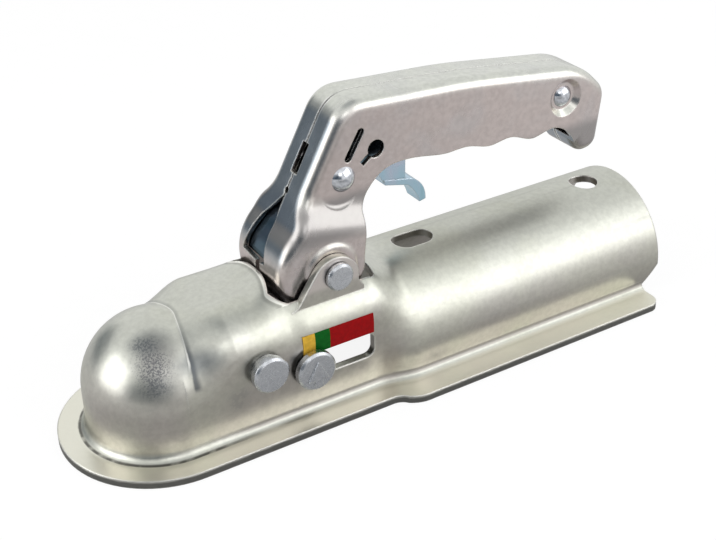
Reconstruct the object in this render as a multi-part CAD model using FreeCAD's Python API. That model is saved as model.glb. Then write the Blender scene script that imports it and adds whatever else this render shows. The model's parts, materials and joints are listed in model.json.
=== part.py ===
import FreeCAD, Part
import math
import os

os.makedirs("parts", exist_ok=True)

# Pressed steel coupling head for a 50 mm ball, with its closing lever, ball jaw and safety catch.
# Millimetres. The origin is the centre of the ball, +X runs back along the drawbar, +Z is up,
# and the near side, with the wear label, faces -Y.

# Sheet and ball
ball_r = 25.0
sheet = 3.4                    # wall of the housing
ball_clearance = 1.1
dome_r = ball_r + ball_clearance + sheet
floor_z = -22.0                # underside of the flange, which the head stands on

# Front box, behind the dome
front_half_w = dome_r
plateau_z = 31.0
shoulder_r = 19.0
crease_x = 8.0                 # the dome stands proud of the box up to here
crease_drop = 2.9              # the box's top is this much lower there
front_shoulder_r = 25.5
plateau_x = 22.0               # from here on the box has its full size
blend_x0 = 84.0                # the box turns into the round seat between these two
blend_x1 = 104.0

# Collar, where the sheet rises in front of the lever opening
collar_len = 11.5
collar_h = 3.5
collar_shoulder_r = 26.0
collar_back = 7.5

# Seat for the drawbar tube
tube_r = 30.0
tube_clearance = 0.1
seat_r = tube_r + tube_clearance
seat_outer_r = seat_r + sheet
seat_z = -8.0
seat_end_x = 234.5
bolt_x = 215.5
bolt_hole_r = 6.5
front_hole_x = 121.0
front_hole_r = 6.0
front_hole_straight = 7.0

# Flange
flange_r = 41.0
rear_flange_w = 13.3          # how far it stands out beside the seat
rear_flange_half_w = seat_outer_r + rear_flange_w
flange_jog_x = 85.0
flange_jog_len = 15.5
flange_end_x = 226.0
flange_corner_r = 6.0
flange_root_r = 4.0

# Lever axis and ears
pivot_x = 70.0
pivot_z = 35.5
pin_r = 4.5
pin_head_r = 5.9
pin_head_h = 2.2
ear_r = 10.4                   # the ear's round top sits a little lower than the lever axis
ear_drop = 2.2
ear_shift = 0.8
ear_foot = 17.4                # its straight front edge comes down this far in front of the axis
ear_gap = 0.3
running_fit = 0.06
moving_gap = 0.35

# Lever halves
lever_sheet = 2.2
hub_half_w = 19.0              # outside of the lower, wider part
grip_half_w = 12.5             # outside of the grip
seam_gap = 0.24
foot_gap = 3.6                 # the halves stand this far apart below the notch
hub_r = 23.0                   # front of the hub, round the lever axis
hub_back_r = 15.5
boss_r = 13.0                  # soft raised boss round the lever axis, next to the ear
boss_flat_r = 9.5
boss_h = 1.2
edge_r = 5.0
arm_end_r = 9.5
open_deg = 50.0                # travel of the lever

# Side of the lever: (along, up) from the lever axis, with the radius that rounds a corner
neck_low = (-9.7, 27.0)        # two points of the column's straight front
neck_high = (6.9, 57.8)
neck_r = 20.0                  # hollow that leads from the hub into that straight
corner = (11.2, 65.8, 14.0)
top_bend = (70.0, 61.7, 300.0)
top_end = (131.0, 53.0, 30.0)
tip = (144.2, 40.0, 9.0)
hook_low = (141.0, 13.5, 6.5)
hook_back = (131.5, 12.1, 5.5)
hook_end = (127.0, 19.3)
finger_start = (114.5, 29.1)   # first crest under the grip
finger_pitch = 22.1
finger_rise = 1.6
finger_depth = 2.7
finger_count = 3
column_back = 17.4             # rear of the column, behind the lever axis
column_back_up = 19.5
join_share = 0.55              # the grip's form starts at this share of that straight

# Ramp from the grip's side out to the wider part, and the tongue below the catch rivet
ramp_front = (-8.0, 33.0)
ramp_rear = (18.0, 27.0)
ramp_len = 18.0
tongue_r = 10.6
tongue_x = 9.3                 # its middle, behind and above the lever axis
tongue_up = 35.2
tongue_ramp = 5.0

# Indicator pin and its windows
follower_x = 53.5
follower_z = 2.1
follower_r = 5.2
follower_head_r = 8.5
follower_travel = 23.9
window_play = 0.4
window_corner_r = 3.6
pin_head_thick = 3.3

# Ball jaw
jaw_pin_x = 33.0
jaw_pin_z = 8.6
jaw_pin_r = 5.0
jaw_pin_head_r = 7.7
jaw_hub_r = 8.3
jaw_half_w = 13.0
jaw_back_x = 39.5
jaw_foot_z = -19.0

# Rivets and catch
mid_x = pivot_x + 10.3
mid_z = pivot_z + 34.2
mid_r = 4.0
end_x = pivot_x + 120.7
end_z = pivot_z + 41.5
end_r = 3.0
catch_sheet = 2.0
catch_room = 5.7               # between the catch and the lever's wall, for its spring
catch_half_w = grip_half_w - lever_sheet - catch_room
catch_bend_r = 2.4
nose_half_w = 12.5
nose_gap = 0.6                 # between the nose and the inside of the hub
dish_r = 7.2
dish_depth = 2.4

# Washers and label
washer_h = 1.2
jaw_washer_h = 2.8
ear_washer_h = 0.5
washer_inset = 1.2
label_h = 0.25
label_above = 0.1
label_height = 8.8
wall_gap = 0.35

ear_in = hub_half_w + boss_h + ear_gap
ear_out = ear_in + sheet


def point(x, z, y=0.0):
    return FreeCAD.Vector(x, y, z)


def from_pivot(along, up):
    return (pivot_x + along, pivot_z + up)


def polar(radius, degrees, cx=pivot_x, cz=pivot_z):
    angle = math.radians(degrees)
    return (cx + radius * math.cos(angle), cz + radius * math.sin(angle))


def line(a, b):
    return Part.makeLine(point(*a), point(*b))


def arc(a, b, c):
    return Part.Arc(point(*a), point(*b), point(*c)).toShape()


def polygon_xz(points):
    corners = [point(*p) for p in points]
    return Part.makePolygon(corners + [corners[0]])


def slab(wire, y0, y1):
    face = Part.Face(wire)
    face.translate(FreeCAD.Vector(0, y0, 0))
    return face.extrude(FreeCAD.Vector(0, y1 - y0, 0))


def disc(radius, x, z, y0, y1):
    return Part.makeCylinder(radius, y1 - y0, FreeCAD.Vector(x, y0, z), FreeCAD.Vector(0, 1, 0))


def box(x0, x1, y0, y1, z0, z1):
    return Part.makeBox(x1 - x0, y1 - y0, z1 - z0, FreeCAD.Vector(x0, y0, z0))


def mirrored(shape):
    return shape.mirror(FreeCAD.Vector(0, 0, 0), FreeCAD.Vector(0, 1, 0))


def edges_where(shape, test):
    return [e for e in shape.Edges if test(e)]


def save(name, shape):
    if len(shape.Solids) != 1:
        print("NOTE", name, "solids:", len(shape.Solids))
    if not shape.isValid():
        print("NOTE", name, "is not valid")
    shape.exportStep("parts/" + name + ".step")


# Housing

def blend(a, b, t):
    return a + (b - a) * t


# Cross sections of the box: place, half width, top and shoulder radius
box_front = (0.0, front_half_w, plateau_z - crease_drop * 1.5, front_shoulder_r)
box_crease = (crease_x, front_half_w, plateau_z - crease_drop, front_shoulder_r)
box_rise = (blend(crease_x, plateau_x, 0.45), front_half_w, plateau_z - crease_drop * 0.4,
            blend(front_shoulder_r, shoulder_r, 0.5))
box_full = (plateau_x, front_half_w, plateau_z, shoulder_r)
opening_x = pivot_x - hub_r - 0.5
collar_foot = (opening_x - collar_len, front_half_w, plateau_z, shoulder_r)
collar_edge = (opening_x, front_half_w, plateau_z + collar_h, collar_shoulder_r)
collar_end = (opening_x + collar_back, front_half_w, plateau_z, shoulder_r)
box_end = (blend_x0, front_half_w, plateau_z, shoulder_r)


def section(station, inset, z0, t=0.0):
    """Cross section at a station: t = 0 is the rounded box, t = 1 the round tube seat."""
    x, w, top, r = station
    w = w - inset
    top = top - inset
    r = r - inset
    bend = r * (1 - math.sqrt(0.5))
    radius = seat_outer_r - inset
    low = -math.sqrt(radius * radius - (z0 - seat_z) ** 2)
    a0 = math.degrees(math.atan2(z0 - seat_z, -low))

    def on_seat(degrees):
        return (radius * math.cos(math.radians(degrees)), seat_z + radius * math.sin(math.radians(degrees)))

    front = [(w, z0), (w, (z0 + top - r) / 2), (w, top - r), (w - bend, top - bend), (w - r, top), (0, top)]
    rear = [on_seat(a0), on_seat((a0 + 30) / 2), on_seat(30), on_seat(52), on_seat(74), on_seat(90)]
    right = [(blend(f[0], b[0], t), blend(f[1], b[1], t)) for f, b in zip(front, rear)]
    left = [(-y, z) for y, z in right]

    def at(p):
        return FreeCAD.Vector(x, p[0], p[1])

    def piece(p, q, s):
        u = (q[0] - p[0]) * (s[1] - p[1]) - (q[1] - p[1]) * (s[0] - p[0])
        if abs(u) < 1e-6:
            return Part.makeLine(at(p), at(s))
        return Part.Arc(at(p), at(q), at(s)).toShape()

    edges = [piece(right[0], right[1], right[2]),
             piece(right[2], right[3], right[4]),
             piece(right[4], right[5], left[4]),
             piece(left[4], left[3], left[2]),
             piece(left[2], left[1], left[0]),
             Part.makeLine(at(left[0]), at(right[0]))]
    return Part.Wire(edges)


smooth_steps = [(0.0, 0.0), (0.2, 0.1), (0.5, 0.5), (0.8, 0.9), (1.0, 1.0)]


def smooth_run(a, b, inset, z0):
    """Box between two stations that differ, flowing softly from one to the other."""
    wires = []
    for s, t in smooth_steps:
        station = [blend(a[0], b[0], s)] + [blend(p, q, t) for p, q in zip(a[1:], b[1:])]
        wires.append(section(station, inset, z0))
    return Part.makeLoft(wires, True, False)


def straight_run(a, b, inset, z0):
    return Part.Face(section(a, inset, z0)).extrude(FreeCAD.Vector(b[0] - a[0], 0, 0))


def body_form(inset, z0):
    """The housing's form, its outside for inset 0 and its inside for inset = sheet."""
    r = dome_r - inset
    profile = Part.Wire([Part.makeLine(point(0, z0), point(r, z0)),
                         Part.makeLine(point(r, z0), point(r, 0)),
                         arc((r, 0), (r * math.sqrt(0.5), r * math.sqrt(0.5)), (0, r)),
                         Part.makeLine(point(0, r), point(0, z0))])
    nose = Part.Face(profile).revolve(FreeCAD.Vector(0, 0, 0), FreeCAD.Vector(0, 0, 1), 360)
    growth = [section(s, inset, z0) for s in (box_front, box_crease, box_rise, box_full)]
    runs = [Part.makeLoft(growth, True, False),
            straight_run(box_full, collar_foot, inset, z0),
            smooth_run(collar_foot, collar_edge, inset, z0),
            smooth_run(collar_edge, collar_end, inset, z0),
            straight_run(collar_end, box_end, inset, z0)]
    wires = [section((blend(blend_x0, blend_x1, s),) + box_end[1:], inset, z0, t) for s, t in smooth_steps]
    runs.append(Part.makeLoft(wires, True, False))
    rear = section((blend_x1,) + box_end[1:], inset, z0, 1.0)
    runs.append(Part.Face(rear).extrude(FreeCAD.Vector(seat_end_x - blend_x1 + inset, 0, 0)))
    return nose.fuse(runs).removeSplitter()


def flange_plate():
    x = flange_jog_x
    w0 = flange_r
    w1 = rear_flange_half_w
    c = flange_corner_r
    k = c * (1 - math.sqrt(0.5))
    turn = flange_jog_len

    def side(s):
        def at(along, out):
            return FreeCAD.Vector(x + along * turn, s * blend(w0, w1, out), 0)

        return [Part.makeLine(FreeCAD.Vector(0, s * w0, 0), FreeCAD.Vector(x, s * w0, 0)),
                Part.Arc(at(0, 0), at(0.2, 0.155), at(0.34, 0.5)).toShape(),
                Part.Arc(at(0.34, 0.5), at(0.63, 0.9), at(1, 1)).toShape(),
                Part.makeLine(at(1, 1), FreeCAD.Vector(flange_end_x - c, s * w1, 0)),
                Part.Arc(FreeCAD.Vector(flange_end_x - c, s * w1, 0),
                         FreeCAD.Vector(flange_end_x - k, s * (w1 - k), 0),
                         FreeCAD.Vector(flange_end_x, s * (w1 - c), 0)).toShape()]

    nose = Part.Arc(FreeCAD.Vector(0, w0, 0), FreeCAD.Vector(-w0, 0, 0), FreeCAD.Vector(0, -w0, 0)).toShape()
    end = Part.makeLine(FreeCAD.Vector(flange_end_x, -(w1 - c), 0), FreeCAD.Vector(flange_end_x, w1 - c, 0))
    wire = Part.Wire(Part.__sortEdges__(side(1) + side(-1) + [nose, end]))
    plate = Part.Face(wire).extrude(FreeCAD.Vector(0, 0, sheet))
    plate.translate(FreeCAD.Vector(0, 0, floor_z))
    return plate


def ear():
    """The near ear, with its straight front edge and the hollow at its foot."""
    cx = pivot_x - ear_shift
    cz = pivot_z - ear_drop
    foot = (pivot_x - ear_foot, plateau_z - 3.6)
    reach = math.hypot(foot[0] - cx, foot[1] - cz)
    lean = 360 + math.degrees(math.atan2(foot[1] - cz, foot[0] - cx)) - math.degrees(math.acos(ear_r / reach))
    front = polar(ear_r, lean, cx, cz)
    back = polar(ear_r, -12, cx, cz)
    low = plateau_z - shoulder_r
    wire = Part.Wire([arc(back, polar(ear_r, (lean - 12) / 2, cx, cz), front),
                      line(front, foot),
                      arc(foot, (foot[0] - 1.6, foot[1] - 1.5), (foot[0] - 3.8, foot[1] - 2.1)),
                      line((foot[0] - 3.8, foot[1] - 2.1), (foot[0] - 3.8, low)),
                      line((foot[0] - 3.8, low), (back[0] + 3.0, low)),
                      line((back[0] + 3.0, low), (back[0] + 2.4, foot[1])),
                      line((back[0] + 2.4, foot[1]), back)])
    return slab(wire, -ear_out, -ear_in)


def window(side):
    x0 = follower_x - follower_r - window_play
    x1 = follower_x + follower_travel + follower_r + window_play
    half = follower_r + window_play
    c = window_corner_r
    k = c * (1 - math.sqrt(0.5))
    lo = follower_z - half
    hi = follower_z + half
    wire = Part.Wire([line((x0 + c, lo), (x1 - c, lo)),
                      arc((x1 - c, lo), (x1 - k, lo + k), (x1, lo + c)),
                      line((x1, lo + c), (x1, hi - c)),
                      arc((x1, hi - c), (x1 - k, hi - k), (x1 - c, hi)),
                      line((x1 - c, hi), (x0 + c, hi)),
                      arc((x0 + c, hi), (x0 + k, hi - k), (x0, hi - c)),
                      line((x0, hi - c), (x0, lo + c)),
                      arc((x0, lo + c), (x0 + k, lo + k), (x0 + c, lo))])
    y0 = front_half_w - sheet - 6
    y1 = front_half_w + 6
    return slab(wire, y0, y1) if side > 0 else slab(wire, -y1, -y0)


def lever_opening():
    """Cut-out in the plateau between the ears. Its front edge bows back towards the lever's hub."""
    x0 = opening_x
    x1 = opening_x + 43.0
    half = ear_in
    bow = 3.2                  # the front corners lie this far in front of the middle
    side = half * 0.72
    corner_c = (x0 - bow + 0.5 * (half - side), half - 0.3 * (half - side))

    def at(x, y):
        return FreeCAD.Vector(x, y, plateau_z - shoulder_r)

    wire = Part.Wire([Part.Arc(at(x0 - bow, -side), at(x0, 0), at(x0 - bow, side)).toShape(),
                      Part.Arc(at(x0 - bow, side), at(*corner_c), at(x0 + 2.6, half)).toShape(),
                      Part.makeLine(at(x0 + 2.6, half), at(x1 - 2.5, half)),
                      Part.Arc(at(x1 - 2.5, half), at(x1 - 0.73, half - 0.73), at(x1, half - 2.5)).toShape(),
                      Part.makeLine(at(x1, half - 2.5), at(x1, 2.5 - half)),
                      Part.Arc(at(x1, 2.5 - half), at(x1 - 0.73, 0.73 - half), at(x1 - 2.5, -half)).toShape(),
                      Part.makeLine(at(x1 - 2.5, -half), at(x0 + 2.6, -half)),
                      Part.Arc(at(x0 + 2.6, -half), at(corner_c[0], -corner_c[1]),
                               at(x0 - bow, -side)).toShape()])
    return Part.Face(wire).extrude(FreeCAD.Vector(0, 0, pivot_z))


def oval_hole():
    half = front_hole_straight / 2
    rod = Part.makeCylinder(front_hole_r, 30, FreeCAD.Vector(front_hole_x + half, 0, 10))
    rod = rod.fuse(Part.makeCylinder(front_hole_r, 30, FreeCAD.Vector(front_hole_x - half, 0, 10)))
    return rod.fuse(box(front_hole_x - half, front_hole_x + half, -front_hole_r, front_hole_r, 10, 40))


def build_housing():
    outer = body_form(0.0, floor_z)
    solid = outer.fuse(flange_plate()).removeSplitter()
    top = floor_z + sheet

    def root(e):
        c = e.CenterOfMass
        return abs(e.BoundBox.ZMin - top) < 0.01 and abs(e.BoundBox.ZMax - top) < 0.01 and \
            abs(c.y) < 37.5 and e.BoundBox.XMax < flange_end_x + 1 and e.BoundBox.XMin > -dome_r - 1 and \
            e.BoundBox.YLength + e.BoundBox.XLength > 0 and not abs(e.BoundBox.XMin - flange_end_x) < 0.1

    roots = edges_where(solid, root)
    solid = solid.makeFillet(flange_root_r, roots)
    inner = body_form(sheet, floor_z - 1.0)
    shell = solid.cut(inner)
    trim = Part.Face(polygon_xz([(flange_end_x, floor_z - 5), (flange_end_x, top), (seat_end_x, seat_z),
                                 (seat_end_x + 8, seat_z), (seat_end_x + 8, floor_z - 5)]))
    trim.translate(FreeCAD.Vector(0, -60, 0))
    shell = shell.cut(trim.extrude(FreeCAD.Vector(0, 120, 0)))
    for part in (ear(), mirrored(ear())):
        shell = shell.fuse(part.cut(body_form(sheet, floor_z - 1.0)))
    cuts = [lever_opening(), window(1), window(-1), oval_hole(),
            Part.makeCylinder(bolt_hole_r, 30, FreeCAD.Vector(bolt_x, 0, 10)),
            disc(jaw_pin_r, jaw_pin_x, jaw_pin_z, -40, 40),
            disc(pin_r, pivot_x, pivot_z, -40, 40)]
    return shell.cut(cuts).removeSplitter()


# Lever

def rounded(points):
    """Edges along points (x, z, r), with each inner corner rounded to its radius r."""
    edges = []
    last = points[0][:2]
    for a, b, c in zip(points, points[1:], points[2:]):
        u = unit(a[0] - b[0], a[1] - b[1])
        v = unit(c[0] - b[0], c[1] - b[1])
        half = math.acos(u[0] * v[0] + u[1] * v[1]) / 2
        reach = b[2] / math.tan(half)
        w = unit(u[0] + v[0], u[1] + v[1])
        depth = b[2] / math.sin(half) - b[2]
        start = (b[0] + u[0] * reach, b[1] + u[1] * reach)
        end = (b[0] + v[0] * reach, b[1] + v[1] * reach)
        edges.append(line(last, start))
        edges.append(arc(start, (b[0] + w[0] * depth, b[1] + w[1] * depth), end))
        last = end
    edges.append(line(last, points[-1][:2]))
    return edges


def unit(x, z):
    length = math.hypot(x, z)
    return (x / length, z / length)


def rounding_tool(path, y, r):
    """What a round of radius r takes off the edge along path, on the plane y of a near-side slab."""
    first = path[0]
    start = first.valueAt(first.FirstParameter)
    along = first.tangentAt(first.FirstParameter)
    out = (-along.z, along.x)

    def at(n, d):
        return FreeCAD.Vector(start.x + out[0] * n, y + d, start.z + out[1] * n)

    k = r * (1 - math.sqrt(0.5))
    wire = Part.Wire([Part.Arc(at(-r, 0), at(-k, k), at(0, r)).toShape(),
                      Part.makeLine(at(0, r), at(1.0, r)),
                      Part.makeLine(at(1.0, r), at(1.0, -1.0)),
                      Part.makeLine(at(1.0, -1.0), at(-r, -1.0)),
                      Part.makeLine(at(-r, -1.0), at(-r, 0))])
    return Part.Wire(path).makePipeShell([wire], True, False)


def neck_points():
    """Where the hollow between the hub and the column's front starts, its middle, and where it ends."""
    neck_a = from_pivot(*neck_low)
    neck_b = from_pivot(*neck_high)
    d = unit(neck_b[0] - neck_a[0], neck_b[1] - neck_a[1])
    n = (-d[1], d[0])
    base = (pivot_x - neck_a[0]) * n[0] + (pivot_z - neck_a[1]) * n[1]
    lean = math.degrees(math.acos((neck_r - base) / (hub_r + neck_r)))
    turn = math.degrees(math.atan2(n[1], n[0])) - lean
    c = polar(hub_r + neck_r, turn)
    meet = (c[0] - n[0] * neck_r, c[1] - n[1] * neck_r)
    leave = polar(hub_r, turn)
    w = unit(leave[0] + meet[0] - 2 * c[0], leave[1] + meet[1] - 2 * c[1])
    return leave, (c[0] + w[0] * neck_r, c[1] + w[1] * neck_r), meet, turn


def hub_front(low_deg):
    leave, middle, meet, turn = neck_points()
    return [arc(polar(hub_r, low_deg), polar(hub_r, (low_deg + turn) / 2), leave), arc(leave, middle, meet)]


def rounded_corner(p):
    return from_pivot(p[0], p[1]) + (p[2],)


def grip_path(start):
    """Front, top and end of the grip, from a point on the straight round to the tip."""
    corners = [rounded_corner(p) for p in (corner, top_bend, top_end, tip, hook_low, hook_back)]
    return rounded([start] + corners + [from_pivot(*hook_end)])


def rim_path(low_deg=200.0):
    """The whole rim of the lever, from the hub round to the tip."""
    return hub_front(low_deg) + grip_path(neck_points()[2])


def join_point():
    low = from_pivot(*neck_low)
    high = from_pivot(*neck_high)
    return (blend(low[0], high[0], join_share), blend(low[1], high[1], join_share))


def finger_grips():
    """Crests and hollows under the grip, from the tip forwards. The hollows get shallower."""
    points = []
    for i in range(finger_count + 1):
        along = finger_start[0] - i * finger_pitch
        points.append(from_pivot(along, finger_start[1] + i * finger_rise))
        if i < finger_count:
            depth = finger_depth * (finger_count - i) / finger_count
            points.append(from_pivot(along - finger_pitch / 2, finger_start[1] + (i + 0.5) * finger_rise - depth))
    return points


def grip_underside():
    """Finger grips and the curve into the rear of the column."""
    lead = [from_pivot(*hook_end), from_pivot(hook_end[0] - 5.2, hook_end[1] + 7.0)]
    turn = [from_pivot(along, up) for along, up in ((37.5, 34.9), (29.5, 33.5), (22.5, 28.0))]
    curve = Part.BSplineCurve()
    back = from_pivot(column_back, column_back_up)
    curve.interpolate([point(*p) for p in lead + finger_grips() + turn + [back]])
    return [curve.toShape(), line(back, hub_back())]


def hub_back():
    return polar(hub_back_r, 5)


def side_outline():
    """The lever's side, down to the middle of the hub."""
    edges = rim_path(210.0) + grip_underside()
    low = polar(hub_back_r, -60)
    start = polar(hub_r, 210)
    edges.append(arc(hub_back(), polar(hub_back_r, -25), low))
    edges.append(line(low, (low[0], start[1])))
    edges.append(line((low[0], start[1]), start))
    return Part.Wire(edges)


def arm_outline():
    """The arm inside the housing that carries the indicator pin."""
    start = polar(hub_r, 205)
    low = polar(hub_back_r, -60)
    inner = (low[0], start[1] + 1.0)
    z = follower_z + 3.0
    left = (follower_x - arm_end_r, z)
    right = (follower_x + arm_end_r, z)
    return Part.Wire([line(start, left), arc(left, (follower_x, z - arm_end_r), right), line(right, low),
                      line(low, inner), line(inner, start)])


def s_curve(length, rise):
    """Points of a soft step: two equal arcs that meet halfway."""
    half = length / 2
    up = rise / 2
    r = (half * half + up * up) / (2 * up)
    a = math.asin(half / r)
    first = (r * math.sin(a / 2), r * (1 - math.cos(a / 2)))
    return [(0, 0), first, (half, up), (length - first[0], rise - first[1]), (length, rise)]


def soft_step(at, length, rise, start):
    """Closed profile of what lies outside a soft step, with at(along, out) placing its points."""
    p = [at(a, b) for a, b in s_curve(length, rise)]
    over = rise + 4.0
    return Part.Wire([Part.makeLine(at(start, 0), p[0]),
                      Part.Arc(p[0], p[1], p[2]).toShape(),
                      Part.Arc(p[2], p[3], p[4]).toShape(),
                      Part.makeLine(p[4], at(length, over)),
                      Part.makeLine(at(length, over), at(start, over)),
                      Part.makeLine(at(start, over), at(start, 0))])


def ramp_cutter(inset):
    """Takes the wide part down to the grip's side above the ramp."""
    a = from_pivot(*ramp_front)
    b = from_pivot(*ramp_rear)
    d = unit(b[0] - a[0], b[1] - a[1])
    down = (d[1], -d[0])
    x0 = a[0] - 30 * d[0] + down[0] * inset / 2
    z0 = a[1] - 30 * d[1] + down[1] * inset / 2

    def at(along, out):
        return FreeCAD.Vector(x0 + down[0] * along, -(grip_half_w - inset) - out, z0 + down[1] * along)

    face = Part.Face(soft_step(at, ramp_len, hub_half_w - grip_half_w, -60))
    return face.extrude(FreeCAD.Vector(d[0] * 90, 0, d[1] * 90))


def tongue_cutter(inset):
    """The grip's flat side reaches down in a round tongue below the catch rivet."""
    r0 = tongue_r - inset / 2
    x0, z0 = from_pivot(tongue_x, tongue_up)

    def at(along, out):
        return FreeCAD.Vector(x0 + r0 + along, -(grip_half_w - inset) - out, z0)

    face = Part.Face(soft_step(at, tongue_ramp, hub_half_w - grip_half_w, -r0))
    return face.revolve(FreeCAD.Vector(x0, 0, z0), FreeCAD.Vector(0, 1, 0), 360)


def grip_region():
    """All that lies beyond the plane square to the column's front, where the grip's form starts."""
    j = join_point()
    d = unit(neck_high[0] - neck_low[0], neck_high[1] - neck_low[1])
    n = (-d[1], d[0])
    corners = [(60, 0), (60, 200), (-300, 200), (-300, 0)]
    wire = polygon_xz([(j[0] + n[0] * a + d[0] * b, j[1] + n[1] * a + d[1] * b) for a, b in corners])
    return slab(wire, -hub_half_w - 5, 6)


def on_path(edge, path):
    """True if all of the edge lies over the path, seen from the side."""
    first = edge.FirstParameter
    last = edge.LastParameter
    for share in (0.0, 0.5, 1.0):
        p = edge.valueAt(blend(first, last, share))
        if Part.Vertex(point(p.x, p.z)).distToShape(path)[0] > 0.02:
            return False
    return True


def hub_block():
    """The wide lower part, with its ramp, its tongue and the rounded front edge."""
    block = slab(side_outline(), -hub_half_w, -seam_gap / 2)
    block = block.cut([grip_region(), ramp_cutter(0.0), tongue_cutter(0.0)])
    path = Part.Wire(rim_path(210.0)[:3])
    front = edges_where(block, lambda e: e.CenterOfMass.y < -grip_half_w + 1 and on_path(e, path))
    return block.makeFillet(edge_r, front)


def inside_outline():
    """Rim of the lever moved in by its sheet. Below, it stays open."""
    end = from_pivot(*hook_end)
    start = polar(hub_r, 200)
    far = [line(end, (end[0], pivot_z)), line((end[0], pivot_z), (120.0, floor_z)),
           line((120.0, floor_z), (30.0, floor_z)), line((30.0, floor_z), (30.0, start[1])),
           line((30.0, start[1]), start)]
    return Part.Wire(rim_path() + far).makeOffset2D(-lever_sheet, 0)


def boss(inset):
    """Soft raised boss on the hub's side."""
    profile = s_curve(boss_r - boss_flat_r, boss_h)

    def at(along, out):
        return FreeCAD.Vector(pivot_x + boss_r - inset - along, -hub_half_w + inset - out, pivot_z)

    p = [at(a, b) for a, b in profile]
    top = at(boss_r - inset, boss_h)
    middle = at(boss_r - inset, -0.5)
    rim = at(0, -0.5)
    wire = Part.Wire([Part.Arc(p[0], p[1], p[2]).toShape(),
                      Part.Arc(p[2], p[3], p[4]).toShape(),
                      Part.makeLine(p[4], top),
                      Part.makeLine(top, middle),
                      Part.makeLine(middle, rim),
                      Part.makeLine(rim, p[0])])
    return Part.Face(wire).revolve(FreeCAD.Vector(pivot_x, 0, pivot_z), FreeCAD.Vector(0, 1, 0), 360)


def follower_slot():
    """Path of the indicator pin in the lever, widened by the pin and the moving gap."""
    r = follower_r + moving_gap
    cutter = None
    steps = 10
    for i in range(steps + 1):
        turn = open_deg * i / steps
        x = follower_x + follower_travel * i / steps
        dx = x - pivot_x
        dz = follower_z - pivot_z
        a = math.radians(turn)
        px = pivot_x + dx * math.cos(a) + dz * math.sin(a)
        pz = pivot_z - dx * math.sin(a) + dz * math.cos(a)
        peg = disc(r, px, pz, -hub_half_w - boss_h - 1, 0)
        cutter = peg if cutter is None else cutter.fuse(peg)
    return cutter


def keyhole(y0, y1):
    x, z = from_pivot(25.3, 43.4)
    hole = disc(3.8, x, z, y0, y1)
    tail = box(-8.2, 0, y0, y1, -1.3, 1.3)
    tail.rotate(FreeCAD.Vector(0, 0, 0), FreeCAD.Vector(0, 1, 0), -37)
    tail.translate(point(x, z))
    return hole.fuse(tail)


def long_slot(y0, y1):
    a = from_pivot(12.6, 42.4)
    b = from_pivot(18.4, 52.2)
    r = 1.6
    length = math.hypot(b[0] - a[0], b[1] - a[1])
    lean = math.degrees(math.atan2(b[1] - a[1], b[0] - a[0]))
    mid = box(0, length, y0, y1, -r, r)
    mid.rotate(FreeCAD.Vector(0, 0, 0), FreeCAD.Vector(0, 1, 0), -lean)
    mid.translate(point(*a))
    return disc(r, a[0], a[1], y0, y1).fuse([disc(r, b[0], b[1], y0, y1), mid])


def front_notch(kink_w, low_w):
    """Notch in the seam's edge at the front of the hub, with a small round relief at its top."""
    x = pivot_x - hub_r - 4

    def at(y, up):
        return FreeCAD.Vector(x, y, pivot_z + up)

    wire = Part.makePolygon([at(1, 29.5), at(-kink_w, 17.5), at(-low_w, 3.0), at(1, 1.8), at(1, 29.5)])
    relief = Part.makeCylinder(1.3, 24, FreeCAD.Vector(x, 0, pivot_z + 29.6), FreeCAD.Vector(1, 0, 0))
    return Part.Face(wire).extrude(FreeCAD.Vector(22, 0, 0)).fuse(relief)


def lever_half(kink_w, low_w):
    """One pressed half of the lever, on the near side."""
    grip = slab(side_outline(), -grip_half_w, -seam_gap / 2).common(grip_region())
    grip = grip.cut(rounding_tool(grip_path(join_point()), -grip_half_w, edge_r))
    arm = slab(arm_outline(), -hub_half_w, -hub_half_w + lever_sheet)
    solid = hub_block().fuse([grip, boss(0.0)])
    hollow = slab(inside_outline(), -grip_half_w + lever_sheet, 5)
    cup = disc(dish_r + lever_sheet, end_x, end_z, -grip_half_w, -grip_half_w + lever_sheet + dish_depth)
    hollow = hollow.cut(cup)
    wide = slab(inside_outline(), -hub_half_w + lever_sheet, 5)
    wide = wide.cut([grip_region(), ramp_cutter(lever_sheet), tongue_cutter(lever_sheet)])
    half = solid.cut(hollow.fuse([wide, boss(lever_sheet)])).fuse(arm)
    dish = Part.makeCone(dish_r + 1.2, dish_r - 1.2, dish_depth, FreeCAD.Vector(end_x, -grip_half_w, end_z),
                         FreeCAD.Vector(0, 1, 0))
    y0 = -hub_half_w - 3
    slot_x, slot_z = from_pivot(-8, 36.0)
    foot_x, foot_z = from_pivot(-hub_r - 2, -12.0)
    cuts = [dish, disc(end_r, end_x, end_z, y0, 0), disc(mid_r, mid_x, mid_z, y0, 0),
            disc(pin_r + running_fit, pivot_x, pivot_z, y0, 0), follower_slot(),
            keyhole(y0, 0), long_slot(y0, 0), front_notch(kink_w, low_w),
            box(slot_x - 5, slot_x + 14, -2.2, 1, slot_z, slot_z + 11.5),
            box(foot_x, foot_x + 12, -foot_gap / 2, 1, foot_z, pivot_z + 3)]
    return half.cut(cuts)


# Pins, rivets, washers and springs

def head(radius, height, y, x, z, outward):
    """A pin head with a chamfered rim, standing on the plane y."""
    solid = Part.makeCylinder(radius, height, FreeCAD.Vector(x, y, z), FreeCAD.Vector(0, outward, 0))
    top = y + outward * height
    rim = edges_where(solid, lambda e: abs(e.CenterOfMass.y - top) < 0.01 and e.BoundBox.XLength > 1)
    return solid.makeChamfer(0.9, rim)


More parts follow.
